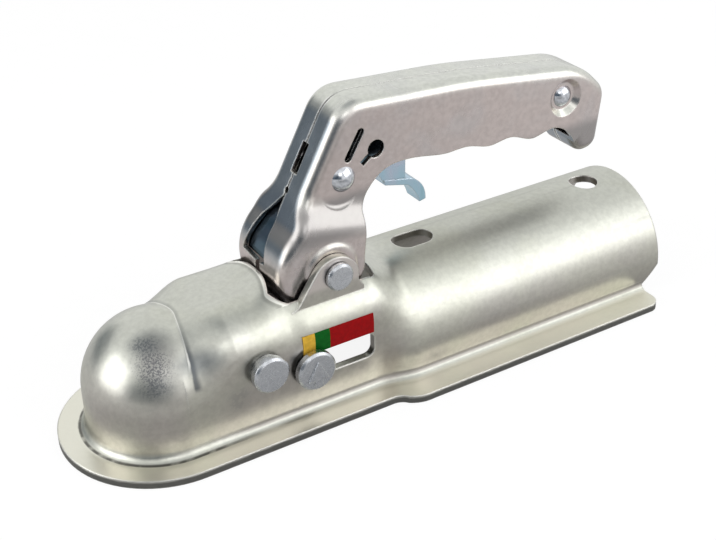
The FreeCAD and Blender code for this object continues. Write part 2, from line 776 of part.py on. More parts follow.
def dome_head(radius, height, y, x, z, outward):
    """A round rivet head, as a cap of a sphere."""
    big = (radius * radius + height * height) / (2 * height)
    ball = Part.makeSphere(big, FreeCAD.Vector(x, y - outward * (big - height), z))
    keep = Part.makeCylinder(radius + 1, height + 1, FreeCAD.Vector(x, y, z), FreeCAD.Vector(0, outward, 0))
    return ball.common(keep)


def pin_with_heads(shank_r, head_r, head_h, x, z, seat_y):
    shank = disc(shank_r, x, z, -seat_y, seat_y)
    return shank.fuse([head(head_r, head_h, seat_y, x, z, 1), head(head_r, head_h, -seat_y, x, z, -1)])


def washer(inner_r, outer_r, x, z, y0, height):
    return disc(outer_r, x, z, y0, y0 + height).cut(disc(inner_r, x, z, y0 - 1, y0 + height + 1))


def pointer(x, z, y):
    """The raised arrow on the indicator pin."""
    half = [(4.7, -3.4), (1.8, -3.4), (1.8, -6.3)]
    outline = [(0, 4.8)] + half + [(-a, b) for a, b in reversed(half)]
    return slab(polygon_xz([(x + a, z + b) for a, b in outline]), y - 0.6, y + 0.3)


def coil(wire_r, mean_r, turns, x, z, y0, pitch, start_deg):
    """Coil round an axis along Y, as a swept helix."""
    helix = Part.makeHelix(pitch, pitch * turns, mean_r)
    start = Part.Wire([Part.makeCircle(wire_r, FreeCAD.Vector(mean_r, 0, 0), FreeCAD.Vector(0, 1, 0))])
    solid = Part.Wire(helix.Edges).makePipeShell([start], True, True)
    solid.rotate(FreeCAD.Vector(0, 0, 0), FreeCAD.Vector(0, 0, 1), start_deg)
    solid.rotate(FreeCAD.Vector(0, 0, 0), FreeCAD.Vector(1, 0, 0), -90)
    solid.translate(FreeCAD.Vector(x, y0, z))
    return solid


def build_pins():
    wall = front_half_w
    seat = wall + jaw_washer_h
    save("front_pin", pin_with_heads(jaw_pin_r, jaw_pin_head_r, pin_head_thick, jaw_pin_x, jaw_pin_z, seat))
    w = washer(jaw_pin_r, jaw_pin_head_r - washer_inset, jaw_pin_x, jaw_pin_z, -seat, jaw_washer_h)
    save("front_pin_washer_near", w)
    save("front_pin_washer_far", mirrored(w))
    seat = wall + label_h + wall_gap + washer_h
    pin = pin_with_heads(follower_r, follower_head_r, pin_head_thick, follower_x, follower_z, seat)
    arrow = pointer(follower_x, follower_z, -seat - pin_head_thick)
    save("indicator_pin", pin.fuse(arrow).removeSplitter())
    w = washer(follower_r, follower_head_r - washer_inset, follower_x, follower_z, -seat, washer_h)
    save("indicator_washer_near", w)
    save("indicator_washer_far", mirrored(w))
    seat = ear_out + ear_washer_h
    save("lever_pin", pin_with_heads(pin_r, pin_head_r, pin_head_h, pivot_x, pivot_z, seat))
    w = washer(pin_r, pin_head_r - 0.3, pivot_x, pivot_z, -ear_out - ear_washer_h, ear_washer_h)
    save("lever_pin_washer_near", w)
    save("lever_pin_washer_far", mirrored(w))
    mid = disc(mid_r, mid_x, mid_z, -grip_half_w, grip_half_w)
    save("catch_rivet", mid.fuse([dome_head(5.3, 2.6, grip_half_w, mid_x, mid_z, 1),
                                  dome_head(5.3, 2.6, -grip_half_w, mid_x, mid_z, -1)]))
    seat = grip_half_w - dish_depth
    rivet = disc(end_r, end_x, end_z, -seat, seat)
    save("grip_rivet", rivet.fuse([dome_head(4.7, 2.5, seat, end_x, end_z, 1),
                                   dome_head(4.7, 2.5, -seat, end_x, end_z, -1)]))
    inner = grip_half_w - lever_sheet - dish_depth
    sleeve = disc(end_r + 2.2, end_x, end_z, -inner, inner).cut(disc(end_r, end_x, end_z, -inner - 1, inner + 1))
    save("grip_spacer", sleeve)


def build_springs():
    wire_r = 0.7
    y0 = -grip_half_w + lever_sheet + 0.4 + wire_r
    turns = 2.0
    pitch = (catch_room - 2 * (0.4 + wire_r)) / turns - 0.2
    ring = coil(wire_r, mid_r + 0.4 + wire_r, turns, mid_x, mid_z, y0, pitch, 0)
    save("catch_spring", ring)
    wire_r = 1.3
    mean = pin_r + 0.8 + wire_r
    y0 = -hub_half_w + lever_sheet + 0.6 + wire_r
    ring = coil(wire_r, mean, 2.0, pivot_x, pivot_z, y0, 2.8, 0)
    save("lever_spring_near", ring)
    save("lever_spring_far", mirrored(ring))


# Catch, jaw, slide and label

def at_rivet(points):
    return [(mid_x + a, mid_z + b) for a, b in points]


def path_through(points):
    return [line(a, b) for a, b in zip(points, points[1:])]


def catch_nose():
    """Bent plate that fills the hub's notch from inside, and the narrower strip that carries it."""
    outer = hub_r - lever_sheet - nose_gap
    inner = outer - catch_sheet
    d = unit(neck_high[0] - neck_low[0], neck_high[1] - neck_low[1])
    inward = (d[1], -d[0])

    def beside_front(depth, share):
        x, z = from_pivot(blend(neck_low[0], neck_high[0], share), blend(neck_low[1], neck_high[1], share))
        return (x + inward[0] * depth, z + inward[1] * depth)

    near = lever_sheet + nose_gap
    elbow = beside_front(near + 0.4, -0.15)
    behind = beside_front(near + 0.4 + catch_sheet, -0.15)
    top = 0.14
    low = [line(polar(inner, 173), polar(outer, 173)),
           arc(polar(outer, 173), polar(outer, 156), polar(outer, 140)),
           line(polar(outer, 140), elbow), line(elbow, behind), line(behind, polar(inner, 140)),
           arc(polar(inner, 140), polar(inner, 156), polar(inner, 173))]
    strip = polygon_xz([beside_front(near + 0.4, -0.16), beside_front(near, -0.05), beside_front(near, top),
                        beside_front(near + 4, top), beside_front(near + 5, -0.05),
                        beside_front(near + 0.4 + catch_sheet, -0.16)])
    return [slab(Part.Wire(low), -nose_half_w, nose_half_w), slab(strip, -catch_half_w - 4, catch_half_w + 4)]


def build_catch():
    """Channel bent from sheet: two side webs, a floor under the finger piece, and a nose in the hub's notch."""
    w = catch_half_w
    p = at_rivet([(-5.5, -4.8), (-6.2, 3.3), (-4.0, 5.9), (0.0, 7.2), (6.5, 1.0), (14.0, -1.6), (31.7, -0.6),
                  (34.1, -3.7), (34.1, -14.1), (24.3, -12.5), (20.7, -6.7), (17.2, -4.2), (7.2, -6.9), (-1.3, -8.2),
                  (-12.5, -15.7), (-15.2, -10.2)])
    outline = [line(p[0], p[1]), arc(p[1], p[2], p[3])] + path_through(p[3:] + [p[0]])
    block = slab(Part.Wire(outline), -w, w)
    low = max(p[8][1], p[9][1])
    bend = edges_where(block, lambda e: abs(abs(e.CenterOfMass.y) - w) < 0.01 and e.BoundBox.ZMax < low + 0.1
                       and e.BoundBox.XMin > mid_x + 20)
    block = block.makeFillet(catch_bend_r, bend)
    gap = slab(polygon_xz(at_rivet([(-40, -40), (-40, 20), (60, 20), (60, -8), (34.4, -12.1), (23.6, -10.4),
                                    (18.5, -5.6), (7.6, -8.0), (-1.3, -11)])), -w + catch_sheet, w - catch_sheet)
    webs = block.cut(gap)
    q = at_rivet([(24.0, -10.7), (24.3, -12.9), (35.3, -15.7), (39.1, -20.1), (41.3, -25.1), (44.3, -24.5),
                  (42.3, -17.3), (37.5, -13.3)])
    strip = Part.Wire([line(q[0], q[1]), line(q[1], q[2]), arc(q[2], q[3], q[4]), line(q[4], q[5]),
                       arc(q[5], q[6], q[7]), line(q[7], q[0])])
    finger = slab(strip, -w, w)
    nose = catch_nose()
    solid = webs.fuse([finger] + nose)
    solid = solid.cut(disc(mid_r + running_fit, mid_x, mid_z, -20, 20))
    save("safety_catch", solid.removeSplitter())


def build_jaw():
    hub = disc(jaw_hub_r, jaw_pin_x, jaw_pin_z, -jaw_half_w, jaw_half_w)
    body = slab(polygon_xz([(jaw_pin_x - 6, jaw_pin_z), (jaw_pin_x + 4, jaw_pin_z), (jaw_back_x, 4.0),
                            (jaw_back_x, -12.0), (jaw_back_x - 6, jaw_foot_z), (14.0, jaw_foot_z), (18.0, -6.0)]),
                -jaw_half_w, jaw_half_w)
    solid = hub.fuse(body)
    solid = solid.cut(Part.makeSphere(ball_r + 0.3, FreeCAD.Vector(0, 0, 0)))
    solid = solid.cut(disc(jaw_pin_r + running_fit, jaw_pin_x, jaw_pin_z, -20, 20))
    save("ball_jaw", solid.removeSplitter())


def build_slide():
    half = hub_half_w - lever_sheet - 0.6
    x0 = jaw_back_x + moving_gap
    wire = polygon_xz([(x0, -7.0), (x0, 0.5), (43.0, 3.5), (43.0, 10.0), (61.5, 10.0), (61.5, -3.0), (56.0, -7.0)])
    solid = slab(wire, -half, half)
    pocket = slab(polygon_xz([(46.5, -8.0), (46.5, -4.8), (57.8, -4.8), (57.8, -8.0)]), -half + 4, half - 4)
    solid = solid.cut(pocket)
    solid = solid.cut(disc(follower_r, follower_x, follower_z, -20, 20))
    save("slide_block", solid)


def build_label():
    x0 = follower_x - 3.5
    x1 = follower_x + follower_travel + follower_r
    z0 = follower_z + follower_r + window_play + label_above
    run = FreeCAD.Vector(x1 - x0, 0, 0)
    place = (x0,) + box_full[1:]
    skin = Part.Face(section(place, -label_h, floor_z)).extrude(run)
    skin = skin.cut(Part.Face(section(place, 0, floor_z)).extrude(run))
    save("wear_label", skin.common(box(x0, x1, -front_half_w - 5, -front_half_w + 5, z0, z0 + label_height)))


save("housing", build_housing())
save("lever_half_near", lever_half(1.4, 5.4))
save("lever_half_far", mirrored(lever_half(8.6, 12.2)))
build_pins()
build_springs()
build_catch()
build_jaw()
build_slide()
build_label()
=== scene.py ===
# %% [markdown]
# # A trailer coupling head in Blender
# The head is pressed from zinc-plated steel sheet. A dome sits over the towing ball, a half-round
# seat behind it takes the drawbar tube, and a hand lever on top locks the ball. The exact shapes
# come in as a fixed frame of solids. This lesson gives them their finish, their light and a camera.
# It also winds the springs, stands the sides of the catch up and files two burrs off the lever.

# %% Load the frame
import bmesh
import bpy
import json
import math
from mathutils import Matrix, Vector

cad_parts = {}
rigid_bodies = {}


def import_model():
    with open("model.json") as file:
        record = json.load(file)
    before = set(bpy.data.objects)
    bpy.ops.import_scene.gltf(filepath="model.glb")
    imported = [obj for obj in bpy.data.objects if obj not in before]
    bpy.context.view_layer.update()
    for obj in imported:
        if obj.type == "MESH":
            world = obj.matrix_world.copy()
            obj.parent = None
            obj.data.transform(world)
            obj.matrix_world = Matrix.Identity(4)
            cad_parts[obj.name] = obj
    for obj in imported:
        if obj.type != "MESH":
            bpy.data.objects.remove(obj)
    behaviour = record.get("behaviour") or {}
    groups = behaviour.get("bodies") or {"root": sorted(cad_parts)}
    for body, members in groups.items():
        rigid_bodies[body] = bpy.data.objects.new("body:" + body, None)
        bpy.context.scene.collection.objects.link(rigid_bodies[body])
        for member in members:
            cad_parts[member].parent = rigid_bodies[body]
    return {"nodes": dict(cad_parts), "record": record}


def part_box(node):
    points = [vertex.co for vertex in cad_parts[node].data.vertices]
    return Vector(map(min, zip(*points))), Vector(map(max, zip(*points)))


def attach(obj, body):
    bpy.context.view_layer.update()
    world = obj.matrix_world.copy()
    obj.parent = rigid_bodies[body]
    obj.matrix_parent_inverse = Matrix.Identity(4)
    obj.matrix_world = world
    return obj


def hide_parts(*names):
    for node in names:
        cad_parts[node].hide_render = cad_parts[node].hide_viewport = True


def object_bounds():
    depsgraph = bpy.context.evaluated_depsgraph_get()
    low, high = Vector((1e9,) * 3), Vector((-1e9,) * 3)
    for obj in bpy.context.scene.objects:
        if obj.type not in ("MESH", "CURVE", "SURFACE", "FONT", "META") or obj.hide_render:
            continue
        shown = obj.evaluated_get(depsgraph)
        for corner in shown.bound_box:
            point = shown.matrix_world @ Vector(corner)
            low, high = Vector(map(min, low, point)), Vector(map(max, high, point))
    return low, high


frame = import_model()
nodes = frame["nodes"]
size_before = [list(corner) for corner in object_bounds()]
print("nodes in the frame:", len(nodes))

# %% [markdown]
# ## Camera
# The picture is taken from the front left and above. Three turns place the camera the way a
# photographer would: swing round the object, tip down, and a slight roll. A long lens keeps the
# rear tube from shrinking too fast.

# %% Place the camera
def put_in_scene(name, data):
    thing = bpy.data.objects.new(name, data)
    bpy.context.scene.collection.objects.link(thing)
    return thing


image_width = 716
camera_place = (-0.15611, -0.40472, 0.30126)
swing_deg, tip_deg, roll_deg = -31.700, 30.746, -1.001
focal_px = 1323.1
sensor_mm = 36.0

camera_data = bpy.data.cameras.new("studio_camera")
camera_data.sensor_width = sensor_mm
camera_data.lens = focal_px * sensor_mm / image_width
camera = put_in_scene("studio_camera", camera_data)
camera.matrix_world = (Matrix.Translation(camera_place)
                       @ Matrix.Rotation(math.radians(swing_deg), 4, "Z")
                       @ Matrix.Rotation(math.radians(90 - tip_deg), 4, "X")
                       @ Matrix.Rotation(math.radians(roll_deg), 4, "Z"))
bpy.context.scene.camera = camera
print("lens in mm:", round(camera_data.lens, 2))

# %% [markdown]
# ## Node helpers
# A material is a small network of nodes. These helpers keep the cells short: one adds a node and
# fills its sockets in one line, either with a number or with a link, and one opens a new material
# with its Principled shader. Sockets are named as they are in the node editor, so each line reads
# like the picture of the network.

# %% Node helpers
def feed(tree, socket, value):
    if hasattr(value, "is_output"):
        tree.links.new(value, socket)
    else:
        socket.default_value = value


def new_node(tree, kind, inputs=None, **settings):
    node = tree.nodes.new(kind)
    for name, value in settings.items():
        setattr(node, name, value)
    for name, value in (inputs or {}).items():
        feed(tree, node.inputs[name], value)
    return node


def add_node(tree, kind, inputs=None, **settings):
    return new_node(tree, "ShaderNode" + kind, inputs, **settings)


def open_material(name, **constants):
    material = bpy.data.materials.new(name)
    material.use_nodes = True
    tree = material.node_tree
    shader = tree.nodes["Principled BSDF"]
    for socket, value in constants.items():
        shader.inputs[socket.replace("_", " ")].default_value = value
    return material, tree, shader


print("node helpers ready")

# %% [markdown]
# ## Sums, ranges and colours
# Most of a finish is made of masks, which are numbers between 0 and 1. A smooth range turns any
# measure into a mask, and reads backwards when its high end is given first. A band is 1 between two
# borders and fades beyond them. Masks multiply where several conditions have to hold at once.

# %% Sum, range and colour helpers
def maths(tree, operation, first, second=0.0, clamp=False):
    node = add_node(tree, "Math", {0: first, 1: second}, operation=operation, use_clamp=clamp)
    return node.outputs[0]


def smooth_range(tree, value, low, high, out_low=0.0, out_high=1.0):
    ends = {"Value": value, "From Min": low, "From Max": high, "To Min": out_low, "To Max": out_high}
    return add_node(tree, "MapRange", ends, interpolation_type="SMOOTHSTEP").outputs["Result"]


def product(tree, first, *others):
    result = first
    for other in others:
        result = maths(tree, "MULTIPLY", result, other)
    return result


def band(tree, value, starts, full, fades, ends):
    return product(tree, smooth_range(tree, value, starts, full), smooth_range(tree, value, ends, fades))


def opposite(tree, mask):
    return maths(tree, "SUBTRACT", 1.0, mask)


def add_share(tree, total, mask, share):
    return maths(tree, "ADD", total, maths(tree, "MULTIPLY", mask, share))


def mix_colors(tree, factor, first, second, blend_type="MIX"):
    node = add_node(tree, "Mix", {0: factor, 6: first, 7: second}, data_type="RGBA", blend_type=blend_type)
    return node.outputs[2]


def tint_where(tree, mask, color, tint, amount=1.0):
    return mix_colors(tree, maths(tree, "MULTIPLY", mask, amount), color, tint)


print("sum, range and colour helpers ready")

# %% [markdown]
# ## Places and noises on the piece
# Every measure is taken in the piece's own coordinates, so a finish stays on its piece when the
# lever swings. One helper splits a place or a facing direction into X, Y and Z, and one draws a
# noise. The last one lays a fine relief on a shader.

# %% Place, noise and relief helpers
def split_coordinate(tree, kind):
    coords = add_node(tree, "TexCoord")
    return add_node(tree, "SeparateXYZ", {"Vector": coords.outputs[kind]}).outputs


def noise(tree, scale, detail, **more):
    coords = add_node(tree, "TexCoord")
    values = {"Vector": coords.outputs["Object"], "Scale": scale, "Detail": detail, **more}
    return add_node(tree, "TexNoise", values).outputs["Fac"]


def lay_relief(tree, shader, strength, height, distance=0.0001, **more):
    relief = add_node(tree, "Bump", {"Strength": strength, "Distance": distance, "Height": height, **more})
    tree.links.new(relief.outputs["Normal"], shader.inputs["Normal"])


print("place, noise and relief helpers ready")

# %% [markdown]
# ## Effects that several finishes share
# Zinc plating, bright sheet edges, painted shade in the corners and rolling marks turn up on more
# than one piece. Each of them is a node group with named inputs, built once and placed in every
# material that needs it with its own values. A group only gives out colours, masks and heights: the
# shader itself stays in the material.

# %% Open and place a node group
def open_group(name, inputs, outputs):
    group = bpy.data.node_groups.new(name, "ShaderNodeTree")
    for socket_name, kind, value in inputs:
        socket = group.interface.new_socket(name=socket_name, in_out="INPUT", socket_type="NodeSocket" + kind)
        socket.default_value = value
    for socket_name, kind in outputs:
        group.interface.new_socket(name=socket_name, in_out="OUTPUT", socket_type="NodeSocket" + kind)
    return group, group.nodes.new("NodeGroupInput").outputs, group.nodes.new("NodeGroupOutput").inputs


def place_group(tree, group, values=None):
    return add_node(tree, "Group", values, node_tree=group).outputs


print("group helpers ready")

# %% [markdown]
# ### Zinc film
# A zinc plating is passivated in a bath, which leaves a film so thin that it tints the light in slow
# cloudy patches. The group reads the direction in which the surface faces on the piece itself and
# blends three tints with two soft noises: a lighter, greener top tint as painted light, a darker,
# pinker side tint as painted shade, and the film's own cloud tint.

# %% Build the zinc film
film, film_in, film_out = open_group(
    "zinc_film",
    [("Lit Top Tint", "Color", (0.60, 0.61, 0.53, 1)), ("Shaded Side Tint", "Color", (0.52, 0.49, 0.46, 1)),
     ("Cloud Tint", "Color", (0.56, 0.50, 0.52, 1)), ("Cloud Size", "Float", 30.0),
     ("Cloud Amount", "Float", 0.5)],
    [("Color", "Color"), ("Cloud", "Float")])
upward = smooth_range(film, split_coordinate(film, "Normal")["Z"], -0.15, 0.85)
# painted light and shade: the top lighter and greener, the sides darker and pinker
lit_and_shaded_film = mix_colors(film, upward, film_in["Shaded Side Tint"], film_in["Lit Top Tint"])
cloud = smooth_range(film, noise(film, film_in["Cloud Size"], 3.0, Roughness=0.55, Distortion=0.6), 0.42, 0.68)
tinted = tint_where(film, cloud, lit_and_shaded_film, film_in["Cloud Tint"], film_in["Cloud Amount"])
grain = smooth_range(film, noise(film, 420.0, 4.0, Roughness=0.6), 0.3, 0.7, 0.93, 1.05)
film.links.new(mix_colors(film, 1.0, tinted, grain, "MULTIPLY"), film_out["Color"])
film.links.new(cloud, film_out["Cloud"])
print("zinc film nodes:", len(film.nodes))

# %% [markdown]
# ### Bright edges
# Sheet edges and the rims of holes are where the press has sheared or burnished the steel, and they
# catch the light. A Bevel node gives the normal that a small round would have. Where it differs from
# the true normal there is an edge, which gives a mask, and the same normal softens the edge itself.
# The mask paints the edges lighter, partly as bare steel and partly as a painted highlight.

# %% Build the bright edges
edges, edges_in, edges_out = open_group(
    "bright_edges", [("Radius", "Float", 0.0006), ("Break Up", "Float", 0.4)],
    [("Edge", "Float"), ("Normal", "Vector")])
rounding = add_node(edges, "Bevel", {"Radius": edges_in["Radius"]}, samples=4).outputs["Normal"]
true_normal = add_node(edges, "NewGeometry").outputs["Normal"]
agree = add_node(edges, "VectorMath", {0: rounding, 1: true_normal}, operation="DOT_PRODUCT")
edge = smooth_range(edges, agree.outputs["Value"], 0.985, 0.80)
worn_off = opposite(edges, smooth_range(edges, noise(edges, 260.0, 3.0), 0.25, 0.6))
kept = opposite(edges, product(edges, edges_in["Break Up"], worn_off))
edges.links.new(product(edges, edge, kept), edges_out["Edge"])
edges.links.new(rounding, edges_out["Normal"])
print("bright edge nodes:", len(edges.nodes))

# %% [markdown]
# ### Dark hollows
# Shade is painted where two sheets meet and inside the lever's hollow. An Ambient Occlusion node
# measures how much of the surroundings a point can see within a short distance, the colour is painted
# darker where it sees little, and a noise breaks the border of this painted shade up, so it doesn't
# look airbrushed.

# %% Build the dark hollows
hollows, hollows_in, hollows_out = open_group(
    "painted_shade_in_hollows", [("Reach", "Float", 0.006), ("Amount", "Float", 0.8)], [("Hollow Shade", "Float")])
openness = add_node(hollows, "AmbientOcclusion", {"Distance": hollows_in["Reach"]}, samples=6).outputs["AO"]
border = smooth_range(hollows, noise(hollows, 300.0, 4.0), 0.3, 0.7, -0.12, 0.12)
ragged = maths(hollows, "ADD", openness, border)
shading_amount = product(hollows, smooth_range(hollows, ragged, 0.50, 0.12), hollows_in["Amount"])
hollows.links.new(shading_amount, hollows_out["Hollow Shade"])
print("dark hollow nodes:", len(hollows.nodes))

# %% [markdown]
# ### Press marks
# Steel sheet comes from the mill with fine lines along its length, and the press adds scratches and
# tiny pits. Stretching a noise along one direction draws such lines. The group gives a height for
# bump and a mask that makes the scratched parts a little rougher.

# %% Build the press marks
marks, marks_in, marks_out = open_group(
    "press_marks",
    [("Stretch", "Vector", (12.0, 260.0, 260.0)), ("Pit Size", "Float", 900.0), ("Scratch", "Float", 0.5)],
    [("Height", "Float"), ("Worn", "Float")])
spot = add_node(marks, "TexCoord").outputs["Object"]
stretched = add_node(marks, "VectorMath", {0: spot, 1: marks_in["Stretch"]}, operation="MULTIPLY")
lines = add_node(marks, "TexNoise", {"Vector": stretched.outputs["Vector"], "Scale": 1.0, "Detail": 5.0,
                                     "Roughness": 0.6}).outputs["Fac"]
pits = add_node(marks, "TexVoronoi", {"Vector": spot, "Scale": marks_in["Pit Size"]}).outputs["Distance"]
height = add_share(marks, maths(marks, "MULTIPLY", lines, 0.6), smooth_range(marks, pits, 0.0, 0.28), 0.4)
scratches = smooth_range(marks, lines, 0.60, 0.72)
marks.links.new(height, marks_out["Height"])
marks.links.new(product(marks, scratches, marks_in["Scratch"]), marks_out["Worn"])
print("press mark nodes:", len(marks.nodes))

# %% [markdown]
# ### Local wear
# Some marks belong to one spot. The group makes a soft ball-shaped region round a point on the piece,
# squeezed along the axes, and fills it with specks from a thresholded noise, or with an even stain
# where Speck is 0.

# %% Build the local wear
wear, wear_in, wear_out = open_group(
    "local_wear",
    [("Place", "Vector", (0.0, 0.0, 0.0)), ("Squeeze", "Vector", (1.0, 1.0, 1.0)),
     ("Radius", "Float", 0.012), ("Speck Size", "Float", 700.0), ("Speck", "Float", 1.0),
     ("Amount", "Float", 1.0)],
    [("Mask", "Float")])
spot = add_node(wear, "TexCoord").outputs["Object"]
away = add_node(wear, "VectorMath", {0: spot, 1: wear_in["Place"]}, operation="SUBTRACT")
shaped = add_node(wear, "VectorMath", {0: away.outputs["Vector"], 1: wear_in["Squeeze"]}, operation="MULTIPLY")
reach = add_node(wear, "VectorMath", {0: shaped.outputs["Vector"]}, operation="LENGTH")
region = smooth_range(wear, maths(wear, "DIVIDE", reach.outputs["Value"], wear_in["Radius"]), 1.0, 0.15)
grain = noise(wear, wear_in["Speck Size"], 4.0, Roughness=0.7)
specks = smooth_range(wear, add_share(wear, grain, region, 0.12), 0.56, 0.66)
filled = add_share(wear, opposite(wear, wear_in["Speck"]), wear_in["Speck"], specks)
mask = maths(wear, "MULTIPLY", product(wear, region, filled), wear_in["Amount"], clamp=True)
wear.links.new(mask, wear_out["Mask"])
print("local wear nodes:", len(wear.nodes))

# %% [markdown]
# ### Seam
# The two lever halves meet in a thin dark line where their bent sheets almost touch, with a painted
# highlight on each side for their bright edges. The line is too fine to cut, so it is drawn by distance
# from the middle plane.
# It shows where the lever faces forward, and fades out on top of the grip, where the halves are
# pressed flush.

# %% Build the seam
seam, seam_in, seam_out = open_group(
    "seam_line", [("Gap", "Float", 0.0004), ("Lip", "Float", 0.0011)], [("Dark", "Float"), ("Bright", "Float")])
offset = maths(seam, "ABSOLUTE", split_coordinate(seam, "Object")["Y"])
facing = split_coordinate(seam, "Normal")
steep = smooth_range(seam, facing["Z"], 0.97, 0.80)
forward = smooth_range(seam, facing["X"], 0.05, -0.10)
inner = maths(seam, "LESS_THAN", offset, seam_in["Gap"])
outer = maths(seam, "SUBTRACT", maths(seam, "LESS_THAN", offset, seam_in["Lip"]), inner)
seam.links.new(product(seam, inner, steep, forward), seam_out["Dark"])
seam.links.new(product(seam, outer, steep, forward), seam_out["Bright"])
print("seam nodes:", len(seam.nodes))

# %% [markdown]
# ## Zinc, first and last layers
# The housing and the lever share a build-up. The first layers are the film and the press marks. The
# last ones are painted shade in the corners and, on top of it, the bright edges, partly bare steel and
# partly painted highlight, so a rim stays light beside the shaded corner. Roughness follows the same
# masks. What lies between belongs to the piece, so it is added in the piece's own cells.

# %% First and last layers of zinc
scratch_grey = (0.40, 0.40, 0.38, 1)
shade_black = (0.040, 0.042, 0.038, 1)
bare_steel_and_highlight = (0.92, 0.92, 0.88, 1)


def start_zinc(name, lit_top_tint, shaded_side_tint, cloud_tint, cloud_size, cloud_amount, roughness, stretch):
    material, tree, shader = open_material(name, Metallic=1.0)
    zinc = place_group(tree, film, {"Lit Top Tint": lit_top_tint, "Shaded Side Tint": shaded_side_tint, "Cloud Tint": cloud_tint,
                                    "Cloud Size": cloud_size, "Cloud Amount": cloud_amount})
    press = place_group(tree, marks, {"Stretch": stretch})
    color = tint_where(tree, press["Worn"], zinc["Color"], scratch_grey, 0.35)
    rough = add_share(tree, roughness, press["Worn"], 0.12)
    rough = add_share(tree, rough, zinc["Cloud"], 0.05)
    return material, tree, shader, press, color, rough


def end_zinc(tree, shader, press, color, rough, corner_shading, edge_radius, edge_shine, bump):
    rim = place_group(tree, edges, {"Radius": edge_radius})
    hollow_shade = place_group(tree, hollows, {"Reach": 0.006, "Amount": corner_shading})["Hollow Shade"]
    # painted shade in the corners, from ambient occlusion
    color = mix_colors(tree, hollow_shade, color, shade_black)
    # edges painted lighter: partly bare steel, partly a painted highlight
    color = tint_where(tree, rim["Edge"], color, bare_steel_and_highlight, edge_shine)
    rough = maths(tree, "ADD", rough, maths(tree, "MULTIPLY", hollow_shade, 0.20), clamp=True)
    tree.links.new(color, shader.inputs["Base Color"])
    tree.links.new(rough, shader.inputs["Roughness"])
    lay_relief(tree, shader, bump, press["Height"], Normal=rim["Normal"])
    print("nodes in this finish:", len(tree.nodes))


print("zinc layers ready")

# %% [markdown]
# ## Body: spots
# The housing is satin: its highlights are broad, but the edges of the sheet are crisp. The press has
# left its own traces on it. The dome is rubbed and speckled on its near side, and the dark specks there
# also stand for a painted dark reflection round its highlight. A painted dark reflection lies beside
# it under the shoulder, and grey smudges sit below the front pin, on the neck and on the tube. Each
# row of the table is one spot: its tone, its place in metres, how much it is squeezed along X, Y and
# Z, its radius, how speckled it is and how finely, and its strength.

# %% Start the body and rub its spots in
zinc_body, tree, shader, press, color, rough = start_zinc(
    "zinc_body", lit_top_tint=(0.575, 0.585, 0.53, 1), shaded_side_tint=(0.495, 0.465, 0.43, 1),
    cloud_tint=(0.56, 0.57, 0.48, 1), cloud_size=26.0, cloud_amount=0.45, roughness=0.30,
    stretch=(12.0, 260.0, 260.0))
soot_and_painted_reflection = (0.075, 0.09, 0.11, 1)
smoke = (0.26, 0.25, 0.25, 1)
brown = (0.33, 0.29, 0.26, 1)
body_spots = [
    # dark dome rows: specks plus a painted dark reflection round the dome's highlight
    (soot_and_painted_reflection, (-0.0085, -0.0200, 0.0195), (1.15, 1.0, 0.72), 0.0125, 1.00, 1500.0, 0.95),
    (smoke, (-0.0060, -0.0190, 0.0205), (1.0, 1.0, 0.6), 0.0150, 0.20, 500.0, 0.62),
    (soot_and_painted_reflection, (-0.0085, -0.0125, 0.0255), (0.8, 0.9, 1.9), 0.0085, 0.45, 1100.0, 0.75),
    (soot_and_painted_reflection, (-0.0105, -0.0240, 0.0125), (0.8, 1.0, 1.5), 0.0095, 0.45, 900.0, 0.60),
    # a painted dark reflection under the shoulder, without specks
    (soot_and_painted_reflection, (0.0085, -0.0242, 0.0182), (0.75, 1.0, 1.5), 0.0100, 0.00, 700.0, 0.65),
    (brown, (0.0900, -0.0305, -0.0100), (1.1, 1.0, 0.6), 0.0085, 0.15, 300.0, 0.60),
    (smoke, (0.0212, -0.0295, -0.0013), (1.0, 1.0, 0.8), 0.0085, 0.70, 420.0, 0.50),
    (smoke, (0.1120, -0.0315, -0.0120), (0.7, 1.0, 1.6), 0.0060, 0.40, 300.0, 0.45),
]
for tone, spot_place, squeeze, radius, speck, speck_size, amount in body_spots:
    spot = place_group(tree, wear, {"Place": spot_place, "Squeeze": squeeze, "Radius": radius, "Speck": speck,
                                    "Speck Size": speck_size, "Amount": amount})["Mask"]
    color = tint_where(tree, spot, color, tone)
    rough = add_share(tree, rough, spot, 0.15)
print("spots on the body:", len(body_spots))

# %% [markdown]
# ## Body: flange
# The flat top of the flange is painted brightest, as painted light. The root above it is painted
# darker as shade, and under the dome a painted black shadow line runs round it in the crevice. The cut
# side of the flange has no film: the press first shears it smooth, which stays light, and then tears
# it, which is dark and rough.

# %% Finish the flange
sheet = 0.0034
floor_z = size_before[0][2]
flange_top = floor_z + sheet
painted_flange_light, crevice_shadow_black, root_shade_grey = (0.80, 0.79, 0.69, 1), (0.05, 0.05, 0.045, 1), (0.27, 0.25, 0.23, 1)
sheared_grey, torn_grey = (0.46, 0.46, 0.42, 1), (0.17, 0.17, 0.16, 1)

place = split_coordinate(tree, "Object")
facing = split_coordinate(tree, "Normal")
above_flange = maths(tree, "SUBTRACT", place["Z"], flange_top)
streaks = noise(tree, 160.0, 3.0)
along_side = smooth_range(tree, place["X"], 0.008, 0.030)

# painted light on the flat top of the flange
lit_flat_top = product(tree, maths(tree, "LESS_THAN", above_flange, 0.0010), smooth_range(tree, facing["Z"], 0.78, 0.95))
color = tint_where(tree, lit_flat_top, color, painted_flange_light, 0.85)
